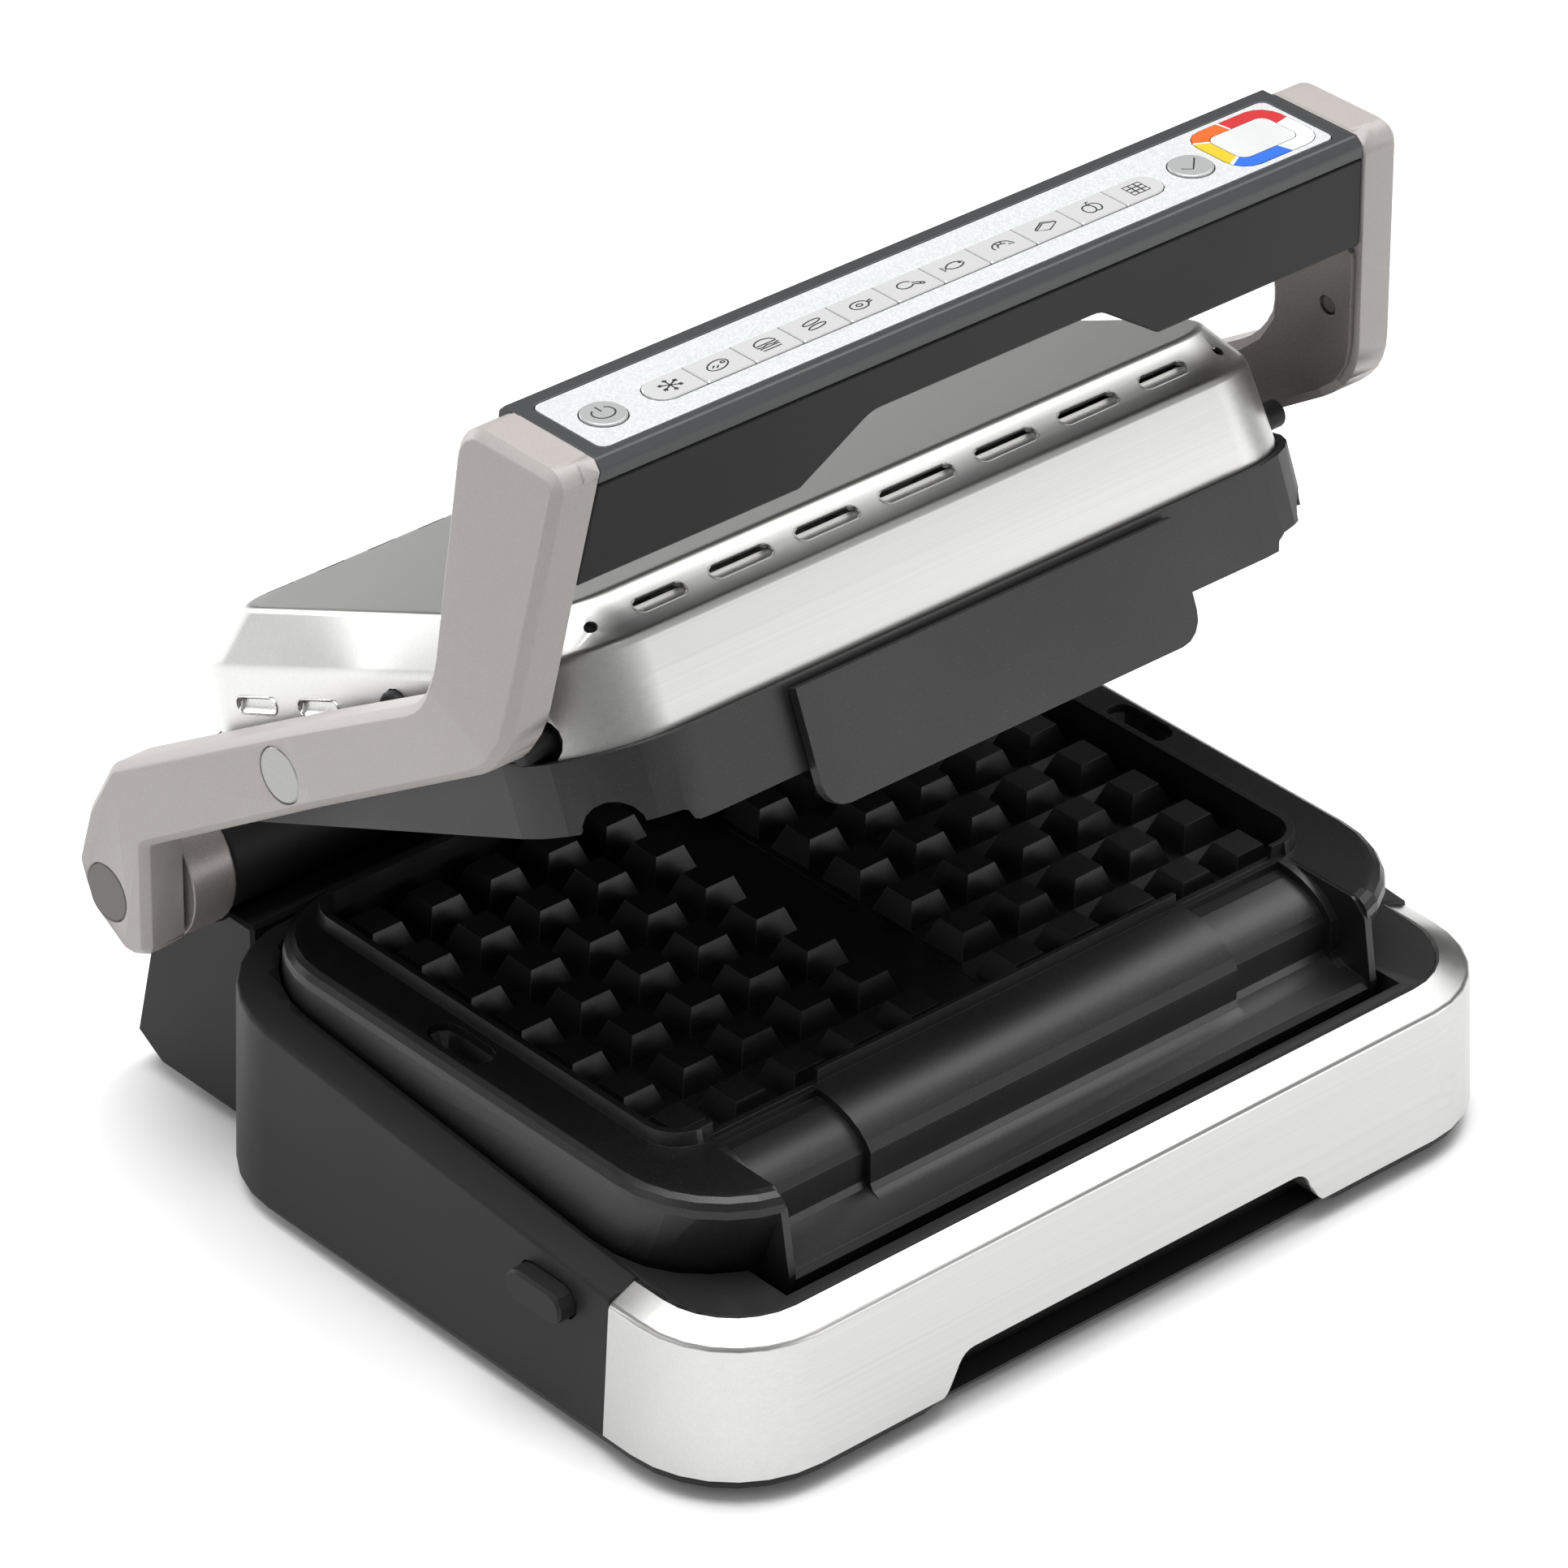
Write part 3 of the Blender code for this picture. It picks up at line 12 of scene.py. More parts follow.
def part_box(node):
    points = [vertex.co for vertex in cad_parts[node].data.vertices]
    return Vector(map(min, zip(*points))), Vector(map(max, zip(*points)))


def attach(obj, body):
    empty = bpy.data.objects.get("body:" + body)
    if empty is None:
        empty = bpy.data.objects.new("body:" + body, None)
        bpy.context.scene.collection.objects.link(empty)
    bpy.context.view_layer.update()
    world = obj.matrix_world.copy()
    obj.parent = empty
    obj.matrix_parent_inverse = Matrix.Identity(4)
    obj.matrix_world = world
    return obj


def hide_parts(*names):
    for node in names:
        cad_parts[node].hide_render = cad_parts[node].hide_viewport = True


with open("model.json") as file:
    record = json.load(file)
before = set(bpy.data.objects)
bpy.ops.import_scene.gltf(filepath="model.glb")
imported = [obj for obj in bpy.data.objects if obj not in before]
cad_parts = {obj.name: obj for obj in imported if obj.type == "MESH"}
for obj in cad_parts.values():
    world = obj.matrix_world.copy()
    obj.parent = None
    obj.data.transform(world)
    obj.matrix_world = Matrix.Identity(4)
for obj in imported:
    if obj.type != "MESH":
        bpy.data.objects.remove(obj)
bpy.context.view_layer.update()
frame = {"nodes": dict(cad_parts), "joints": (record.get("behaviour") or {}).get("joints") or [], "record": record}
NODES = frame["nodes"]
BODY_OF = {node: body for body, nodes in frame["record"]["behaviour"]["bodies"].items()
           for node in nodes}
SLOT_OF = {entry["node"]: entry["material_slot"] for entry in frame["record"]["subparts"]}

# The lid at rest leans back about its pivot. Its flat top has painted shade, a darker colour
# in place of a dim reflection, which sets in between these two heights above the pivot.
PIVOT = Vector(next(j["pos_m"] for j in frame["joints"] if j["name"] == "lid_float"))
LID_TILT = math.radians(-23.2)
LID_PLACE = Matrix.Translation(PIVOT) @ Matrix.Rotation(LID_TILT, 4, "X")
LID_UP = LID_PLACE.to_3x3() @ Vector((0.0, 0.0, 1.0))
LID_TOP_FROM, LID_TOP_TO = 0.0396, 0.0408
# Colour that the painted shade multiplies the lid's top by.
LID_TOP_PAINTED_SHADE = (0.56, 0.56, 0.555)

# Long fine lines along X, as in rolled sheet.
SHEET_GRAIN = (5.0, 1500.0, 1500.0)

# Edges sharper than HARD_ANGLE stay hard and are rounded; faces that meet at less than
# FLAT_ANGLE are merged. Both in degrees.
HARD_ANGLE = 28.0
WELD_DISTANCE = 0.000002
FLAT_ANGLE = 0.6

# Line pictures on the keys, in metres: half their height, how much wider they are, and the
# strokes' width, height, depth in the key and step from one stroke to the next.
SYMBOL_HALF = 0.0035
SYMBOL_STRETCH = 1.2
STROKE_WIDTH = 0.00052
STROKE_HEIGHT = 0.00003
STROKE_SINK = 0.000005
STROKE_LAYER = 0.000002

# Slots in the lid, in the lid's own level frame about its pivot: the middle of the sloping
# front bevel with (x, half length) of its slots, and the side walls with the y of theirs.
BEVEL_MIDDLE = (0.0, -0.1163, 0.0343)
BEVEL_SLOPE = 45.0
BEVEL_SLOTS = ((0.0, 0.0150), (0.0368, 0.0125), (0.0714, 0.0122), (0.1036, 0.0100))
WALL_X, WALL_Z = 0.1506, 0.0125
WALL_SLOTS = (0.0402, 0.0068, -0.0650)
WALL_SLOT_HALF = 0.0105
RIM_RADIUS, RIM_THICKNESS, RIM_OUT = 0.0029, 0.00038, 0.0003
TONGUE_RADIUS, TONGUE_IN, TONGUE_THICKNESS = 0.0025, 0.0001, 0.0004
# From a slot's lower edge inwards: share of the slot's height, rise, depth, share of its length.
TONGUE_ROWS = ((1.0, 0.0, 0.0, 1.0), (0.70, 0.0003, -0.0009, 0.99),
               (0.35, 0.0010, -0.0016, 0.97), (0.1, 0.0018, -0.0019, 0.94))

# Studio: name, position, aim, size and power (W) of each soft box.
SOFT_BOXES = (("overhead", (-0.1, 0.1, 2.2), (0.0, 0.0, 0.1), (1.9, 1.9), 64.0),
              ("right_top", (1.55, 0.0, 2.0), (0.0, 0.0, 0.15), (1.3, 1.5), 20.0),
              ("front_card", (1.35, -1.95, 0.42), (0.0, 0.0, 0.12), (1.9, 0.6), 10.0),
              ("left", (-2.1, 0.1, 1.0), (0.0, 0.0, 0.12), (1.2, 1.2), 3.5),
              ("back", (-0.55, 2.3, 0.7), (0.0, 0.0, 0.2), (1.6, 0.8), 24.0))
# The surroundings' brightness by direction: position 0 lies opposite to WORLD_AXIS, 1 along it.
WORLD_AXIS = (0.62, 0.78, 0.0)
WORLD_STOPS = ((0.0, 0.50), (0.08, 0.58), (0.24, 1.0), (0.45, 1.0), (0.86, 0.10))
WORLD_STRENGTH = 0.50
FLOOR_HALF = 6.0

# The photograph's camera, fitted to the machine's edges.
CAMERA_PLACE = (-1.47995, -1.63641, 1.49802)
CAMERA_RIGHT = (0.74712, -0.66462, 0.00956)
CAMERA_BACK = (-0.56769, -0.63055, 0.52928)
SENSOR_WIDTH, LENS, CLIP_END = 36.0, 188.91, 50.0


# ---- material helpers -----------------------------------------------------------------

class Nodes:
    """A small builder for one material's node tree."""

    def __init__(self, name):
        self.material = bpy.data.materials.new(name)
        self.material.use_nodes = True
        self.tree = self.material.node_tree
        self.shader = self.tree.nodes["Principled BSDF"]
        self.place = self.tree.nodes.new("ShaderNodeTexCoord").outputs["Object"]

    def add(self, kind, **settings):
        node = self.tree.nodes.new(kind)
        for key, value in settings.items():
            setattr(node, key, value)
        return node

    def link(self, output, target):
        self.tree.links.new(output, target)

    def mapped(self, scale):
        """Object coordinates, scaled per axis."""
        node = self.add("ShaderNodeMapping")
        node.inputs["Scale"].default_value = scale
        self.link(self.place, node.inputs["Vector"])
        return node.outputs["Vector"]

    def noise(self, scale, detail=2.0, roughness=0.5, vector=None):
        """Noise value from 0 to 1, in object coordinates unless given others."""
        node = self.add("ShaderNodeTexNoise")
        node.inputs["Scale"].default_value = scale
        node.inputs["Detail"].default_value = detail
        node.inputs["Roughness"].default_value = roughness
        self.link(vector or self.place, node.inputs["Vector"])
        return node.outputs["Fac"]

    def cells(self, scale):
        """The outputs of a cell texture in object coordinates."""
        node = self.add("ShaderNodeTexVoronoi")
        node.inputs["Scale"].default_value = scale
        self.link(self.place, node.inputs["Vector"])
        return node.outputs

    def ramp(self, factor, stops, interpolation="LINEAR"):
        """A colour by a factor, from (position, colour) stops."""
        node = self.add("ShaderNodeValToRGB")
        ramp = node.color_ramp
        ramp.interpolation = interpolation
        while len(ramp.elements) < len(stops):
            ramp.elements.new(0.5)
        for element, (position, colour) in zip(ramp.elements, stops):
            element.position = position
            element.color = (*colour, 1.0)
        self.link(factor, node.inputs["Fac"])
        return node.outputs["Color"]

    def rescale(self, value, low, high, source=(0.0, 1.0)):
        """A value mapped from the source range to low..high, clamped."""
        node = self.add("ShaderNodeMapRange")
        node.inputs["From Min"].default_value = source[0]
        node.inputs["From Max"].default_value = source[1]
        node.inputs["To Min"].default_value = low
        node.inputs["To Max"].default_value = high
        self.link(value, node.inputs["Value"])
        return node.outputs["Result"]

    def math(self, operation, first, second):
        """A sum, product or the like of two values or outputs."""
        node = self.add("ShaderNodeMath", operation=operation)
        for index, value in enumerate((first, second)):
            if isinstance(value, (int, float)):
                node.inputs[index].default_value = value
            else:
                self.link(value, node.inputs[index])
        return node.outputs[0]

    def mix(self, factor, first, second, blend="MIX"):
        """Two colours blended by a factor output."""
        node = self.add("ShaderNodeMix", data_type="RGBA", blend_type=blend)
        self.link(factor, node.inputs["Factor"])
        for socket, value in ((node.inputs[6], first), (node.inputs[7], second)):
            if isinstance(value, tuple):
                socket.default_value = (*value, 1.0)
            else:
                self.link(value, socket)
        return node.outputs[2]

    def bump(self, height, strength, distance):
        """Fine relief of the surface; the distance is in metres."""
        node = self.add("ShaderNodeBump")
        node.inputs["Strength"].default_value = strength
        node.inputs["Distance"].default_value = distance
        self.link(height, node.inputs["Height"])
        self.link(node.outputs["Normal"], self.shader.inputs["Normal"])

    def set(self, **values):
        """Set or link the shader's sockets, with _ for the spaces in their names."""
        for key, value in values.items():
            socket = self.shader.inputs[key.replace("_", " ")]
            if isinstance(value, (int, float)):
                socket.default_value = value
            elif isinstance(value, tuple):
                socket.default_value = (*value, 1.0)
            else:
                self.link(value, socket)


def brushed_steel(name, grain, colour, rough=0.34, spread=0.06, around=None, stretch=0.55,
                  top=None):
    """Stainless sheet with a fine straight grain.

    grain: noise scale per axis; spread: how far the roughness changes with the grain.
    around: the axis that the brushing runs round, for stretched highlights (stretch).
    top: heights along the lid's own up direction between which the lid's top gets painted
    shade, a darker colour.
    """
    n = Nodes(name)
    if around:
        tangent = n.add("ShaderNodeTangent", direction_type="RADIAL", axis=around)
        n.link(tangent.outputs["Tangent"], n.shader.inputs["Tangent"])
        n.set(Anisotropic=stretch, Anisotropic_Rotation=0.25 if around == "X" else 0.0)
    along = n.mapped(grain)
    fine = n.noise(1.0, 3.0, 0.65, along)
    broad = n.noise(1.0, 2.0, 0.5, n.mapped(tuple(g * 0.3 for g in grain)))
    streak = n.math("ADD", n.math("MULTIPLY", fine, 0.75), n.math("MULTIPLY", broad, 0.25))
    paint = n.ramp(streak, [(0.25, (colour * 0.90, colour * 0.90, colour * 0.885)),
                            (0.75, (colour * 1.05, colour * 1.045, colour * 1.025))])
    # Painted shade: darken the lid's top between the given heights.
    if top:
        lift = n.add("ShaderNodeVectorMath", operation="DOT_PRODUCT")
        n.link(n.place, lift.inputs[0])
        lift.inputs[1].default_value = LID_UP
        share = n.rescale(lift.outputs["Value"], 0.0, 1.0, top)
        paint = n.mix(share, paint, LID_TOP_PAINTED_SHADE, "MULTIPLY")
    gloss = n.rescale(streak, rough - spread / 2, rough + spread / 2, (0.3, 0.7))
    n.set(Base_Color=paint, Metallic=1.0, Roughness=gloss)
    n.bump(streak, 0.05, 0.00002)
    return n.material


def moulded(name, colour, rough, grain=1400.0, depth=0.00005, metallic=0.0, strength=0.35,
            fleck=0.06, shine=0.5):
    """Moulded part with a fine spark-eroded texture and slight unevenness of gloss.

    grain, depth and strength: scale and relief of the texture.
    fleck: how far the fine grain lightens and darkens the colour; shine: the specular level.
    """
    n = Nodes(name)
    fine = n.noise(grain, 2.0, 0.6)
    soft = n.noise(9.0, 3.0, 0.5)
    low = tuple(c * (1 - fleck) for c in colour)
    high = tuple(min(1.0, c * (1 + fleck)) for c in colour)
    n.set(Base_Color=n.ramp(fine, [(0.3, low), (0.7, high)]), Metallic=metallic,
          Roughness=n.rescale(soft, rough - 0.04, rough + 0.05, (0.3, 0.7)),
          Specular_IOR_Level=shine)
    n.bump(fine, strength, depth)
    return n.material


def sparkle_coating(name, colour, rough, speck):
    """Non-stick coating: near black with fine specks and an orange-peel surface."""
    n = Nodes(name)
    grain = n.noise(2600.0, 1.0, 0.6)
    soft = n.noise(14.0, 3.0, 0.5)
    cells = n.cells(1500.0)
    specks = n.rescale(cells["Distance"], 1.0, 0.0, (0.05, 0.22))
    chosen = n.rescale(cells["Color"], 0.0, 1.0, (0.55, 0.85))
    amount = n.math("MULTIPLY", specks, chosen)
    n.set(Base_Color=n.mix(n.math("MULTIPLY", amount, 0.8), (colour, colour, colour * 1.04),
                           (speck, speck, speck * 1.02)),
          Roughness=n.rescale(soft, rough - 0.03, rough + 0.05, (0.3, 0.7)))
    n.bump(grain, 0.45, 0.00007)
    return n.material


def speckled_silver(name, colour, rough):
    """Metallic paint with a fine glitter."""
    n = Nodes(name)
    fine = n.noise(1500.0, 2.0, 0.7)
    cells = n.cells(1700.0)
    glitter = n.rescale(cells["Color"], 0.0, 1.0, (0.2, 0.9))
    shade = n.math("ADD", n.math("MULTIPLY", fine, 0.5), n.math("MULTIPLY", glitter, 0.5))
    n.set(Base_Color=n.ramp(shade, [(0.2, (colour * 0.86, colour * 0.885, colour * 0.89)),
                                    (0.8, (colour * 1.06, colour * 1.08, colour * 1.08))]),
          Metallic=0.15, Roughness=n.rescale(shade, rough - 0.1, rough + 0.12))
    n.bump(shade, 0.12, 0.00003)
    return n.material


def ring_print(name, centre):
    """Five colour fields round the display, with pale gaps.

    The field is picked by the direction from the ring's centre, as a share of a full turn
    that starts at -X and runs towards -Y.
    """
    n = Nodes(name)
    offset = n.add("ShaderNodeVectorMath", operation="SUBTRACT")
    n.link(n.place, offset.inputs[0])
    offset.inputs[1].default_value = centre
    split = n.add("ShaderNodeSeparateXYZ")
    n.link(offset.outputs["Vector"], split.inputs["Vector"])
    squeezed = n.math("MULTIPLY", split.outputs["X"], 0.78)
    turn = n.math("ARCTAN2", split.outputs["Y"], squeezed)
    share = n.math("ADD", n.math("DIVIDE", turn, 2 * math.pi), 0.5)
    white, blue = (0.62, 0.63, 0.63), (0.012, 0.105, 0.50)
    yellow, orange, red = (0.52, 0.38, 0.012), (0.54, 0.090, 0.006), (0.42, 0.012, 0.016)
    gap = 0.009
    stops = [(0.0, yellow)]
    for position, colour in ((0.090, blue), (0.290, white), (0.535, red), (0.771, orange),
                             (0.908, yellow)):
        stops += [(position - gap, white), (position, colour)]
    paint = n.ramp(share, stops, "CONSTANT")
    fine = n.noise(1600.0, 2.0, 0.6)
    n.set(Base_Color=n.mix(n.math("MULTIPLY", fine, 0.03), paint, (1.0, 1.0, 1.0)),
          Roughness=n.rescale(fine, 0.28, 0.40))
    return n.material


def window(name):
    """Pale, glossy display window, faintly uneven in tone."""
    n = Nodes(name)
    soft = n.noise(40.0, 2.0, 0.5)
    n.set(Base_Color=n.ramp(soft, [(0.2, (0.50, 0.505, 0.505)), (0.8, (0.58, 0.585, 0.585))]),
          Roughness=0.12, Coat_Weight=0.6, Coat_Roughness=0.05)
    return n.material


def printed(name, colour):
    """Ink of the key symbols."""
    n = Nodes(name)
    light = tuple(c * 1.3 for c in colour)
    n.set(Base_Color=n.ramp(n.noise(900.0), [(0.3, colour), (0.7, light)]), Roughness=0.45)
    return n.material


def make_looks():
    """Every material, by the record's slot name or by its use."""
    ring_low, ring_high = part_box("display_ring")
    pivot_height = PIVOT.dot(LID_UP)
    return {
        "brushed_steel": brushed_steel("steel_front", SHEET_GRAIN, 0.57, around="Z",
                                       stretch=0.85),
        # The lid's top gets painted shade.
        "steel_lid": brushed_steel("steel_lid", SHEET_GRAIN, 0.66, around="X",
                                   top=(pivot_height + LID_TOP_FROM, pivot_height + LID_TOP_TO)),
        "steel_detail": brushed_steel("steel_detail", (6.0, 900.0, 900.0), 0.60, 0.28),
        "steel_cap": brushed_steel("steel_cap", (900.0, 60.0, 1400.0), 0.31, 0.34, 0.10),
        "plain_steel": brushed_steel("steel_turned", (2200.0, 60.0, 60.0), 0.60, 0.28, 0.08),
        "black_plastic": moulded("black_moulding", (0.0155, 0.0155, 0.016), 0.50, shine=0.18),
        "handle_black": moulded("handle_satin", (0.0105, 0.0105, 0.011), 0.46, 1700.0, 0.00003,
                                shine=0.16),
        "handle_lid": moulded("handle_grey", (0.040, 0.042, 0.043), 0.38, 1900.0, 0.00003,
                              shine=0.35),
        "pan_black": moulded("pan_black", (0.016, 0.016, 0.016), 0.55, 900.0, 0.0001),
        "non_stick": sparkle_coating("non_stick_black", 0.005, 0.34, 0.14),
        "non_stick_outer": sparkle_coating("non_stick_grey", 0.011, 0.48, 0.12),
        "taupe_plastic": moulded("taupe_moulding", (0.315, 0.292, 0.283), 0.42, 2000.0, 0.00002),
        "taupe_metallic": moulded("taupe_pearl", (0.150, 0.135, 0.130), 0.36, 2600.0, 0.00004,
                                  metallic=0.35, strength=0.4, fleck=0.25),
        "taupe_cap": moulded("taupe_cap", (0.078, 0.071, 0.068), 0.42, 2000.0, 0.00002),
        "hub_pearl": moulded("hub_pearl", (0.300, 0.275, 0.265), 0.36, 2600.0, 0.00004,
                             metallic=0.35, strength=0.4, fleck=0.20),
        "silver_panel": speckled_silver("panel_silver", 0.57, 0.34),
        "key_silver": moulded("key_satin", (0.50, 0.505, 0.50), 0.30, 1200.0, 0.00001,
                              metallic=0.2, fleck=0.03),
        "round_key": moulded("round_key", (0.36, 0.365, 0.365), 0.30, 1500.0, 0.00002,
                             metallic=0.25),
        "display_ring": ring_print("ring_print", (ring_low + ring_high) / 2),
        "display_lens": window("display_window"),
        "rubber": moulded("rubber_black", (0.014, 0.014, 0.014), 0.75, 500.0, 0.0001),
        "heater_rod": moulded("heater_sheath", (0.10, 0.095, 0.09), 0.45, 700.0,
                              metallic=0.7),
        "aluminised_sheet": brushed_steel("reflector_sheet", (60.0, 60.0, 60.0), 0.62, 0.30, 0.1),
        "circuit_board": moulded("board_green", (0.02, 0.11, 0.05), 0.45, 300.0, 0.0001),
        "ink": printed("symbol_ink", (0.010, 0.0105, 0.011)),
    }


# ---- pieces from the CAD nodes --------------------------------------------------------

def piece_from(bm, name, look, body, angle=32.0):
    """Link a bmesh as a smooth object that rides on a body and fills a material slot."""
    mesh = bpy.data.meshes.new(name)
    bm.to_mesh(mesh)
    bm.free()
    mesh.materials.append(look)
    mesh.shade_smooth()
    mesh.set_sharp_from_angle(angle=math.radians(angle))
    made = bpy.data.objects.new(name, mesh)
    bpy.context.scene.collection.objects.link(made)
    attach(made, body)
    return made


def refined(node, look, width, angle):
    """A smooth piece that stands for a CAD node.

    Split corners are welded. With a width, flat regions are merged and the edges that are
    sharper than the angle are rounded by it.
    """
    bm = bmesh.new()
    bm.from_mesh(NODES[node].data)
    bmesh.ops.remove_doubles(bm, verts=bm.verts, dist=WELD_DISTANCE)
    if width > 0:
        bmesh.ops.dissolve_limit(bm, angle_limit=math.radians(FLAT_ANGLE), verts=bm.verts,
                                 edges=bm.edges)
    piece = piece_from(bm, f"{node}_skin", look, BODY_OF[node], angle)
    if width > 0:
        bevel = piece.modifiers.new("edge", "BEVEL")
        bevel.width = width
        bevel.segments = 2
        bevel.limit_method = "ANGLE"
        bevel.angle_limit = math.radians(angle)
        bevel.use_clamp_overlap = True
    weigh = piece.modifiers.new("even", "WEIGHTED_NORMAL")
    weigh.keep_sharp = True
    weigh.weight = 50
    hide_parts(node)


def paint_only(node, look):
    """Keep a CAD node as it is and give it a material."""
    data = NODES[node].data
    data.materials.clear()
    data.materials.append(look)


def dress(looks):
    """Give every node its finish: a smooth piece (with its rounding in metres) or paint."""
    rounded = {
        "front_trim": ("brushed_steel", 0.0), "lid_shell": ("steel_lid", 0.0),
        "base_housing": ("black_plastic", 0.0), "rear_housing": ("black_plastic", 0.0006),
        "lower_plate": ("non_stick", 0.0008), "upper_plate": ("non_stick_outer", 0.0008),
        "arm_left": ("taupe_plastic", 0.0), "arm_right": ("taupe_plastic", 0.0),
        "arm_cover_left": ("taupe_metallic", 0.0004),
        "arm_cover_right": ("taupe_metallic", 0.0004),
        "hub_left": ("hub_pearl", 0.0004), "hub_right": ("hub_pearl", 0.0004),
        "handle_top": ("handle_lid", 0.0005), "handle_bottom": ("handle_black", 0.0009),
        "control_panel": ("silver_panel", 0.0002), "hinge_barrel": ("black_plastic", 0.0005),
        "release_button_left": ("black_plastic", 0.0005),
        "release_button_right": ("black_plastic", 0.0005),
        "lid_release_left": ("black_plastic", 0.0004),
        "lid_release_right": ("black_plastic", 0.0004),
        "guide_pin_left": ("black_plastic", 0.0004), "guide_pin_right": ("black_plastic", 0.0004),
        "power_button": ("round_key", 0.0002), "ok_button": ("round_key", 0.0002),
        "display_lens": ("display_lens", 0.0001),
    }
    angles = {"lower_plate": 17.0, "arm_left": 34.0, "arm_right": 34.0}
    special = {"pivot_cap_left": "steel_cap", "pivot_cap_right": "steel_cap",
               "hub_cap_left": "taupe_cap", "hub_cap_right": "taupe_cap",
               "base_pan": "pan_black", "cover_screw_left": "heater_rod",
               "cover_screw_right": "heater_rod"}
    for node in sorted(NODES):
        if node in rounded:
            look, width = rounded[node]
            refined(node, looks[look], width, angles.get(node, HARD_ANGLE))
        else:
            paint_only(node, looks[special.get(node, SLOT_OF[node])])


# ---- symbols on the keys --------------------------------------------------------------

def stroke(bm, points, z, closed):
    """A thin raised line along 2-D points, from the height z up."""
    count = len(points)
    left, right = [], []
    for i, (x, y) in enumerate(points):
        before = points[i - 1] if closed or i > 0 else points[i]
        after = points[(i + 1) % count] if closed or i < count - 1 else points[i]
        along = Vector((after[0] - before[0], after[1] - before[1]))
        if along.length < 1e-9:
            along = Vector((1.0, 0.0))
        side = Vector((-along.y, along.x)).normalized() * (STROKE_WIDTH / 2)
        left.append((x + side.x, y + side.y))
        right.append((x - side.x, y - side.y))
    layers = []
    for level in (z, z + STROKE_HEIGHT):
        layers.append(([bm.verts.new((*p, level)) for p in left],
                       [bm.verts.new((*p, level)) for p in right]))
    (left_low, right_low), (left_high, right_high) = layers
    spans = range(count) if closed else range(count - 1)
    for i in spans:
        k = (i + 1) % count
        bm.faces.new((left_high[i], left_high[k], right_high[k], right_high[i]))
        bm.faces.new((left_low[i], right_low[i], right_low[k], left_low[k]))
        bm.faces.new((left_low[i], left_low[k], left_high[k], left_high[i]))
        bm.faces.new((right_low[i], right_high[i], right_high[k], right_low[k]))
    if not closed:
        for i in (0, count - 1):
            bm.faces.new((left_low[i], left_high[i], right_high[i], right_low[i]))


def oval(cx, cy, rx, ry, start=0.0, end=360.0, steps=20, lean=0.0):
    """Points on an ellipse that leans; angles in degrees, lengths in symbol units."""
    points = []
    turn = math.radians(lean)
    for i in range(steps + 1):
        angle = math.radians(start + (end - start) * i / steps)
        x, y = rx * math.cos(angle), ry * math.sin(angle)
        points.append((cx + x * math.cos(turn) - y * math.sin(turn),
                       cy + x * math.sin(turn) + y * math.cos(turn)))
    return points


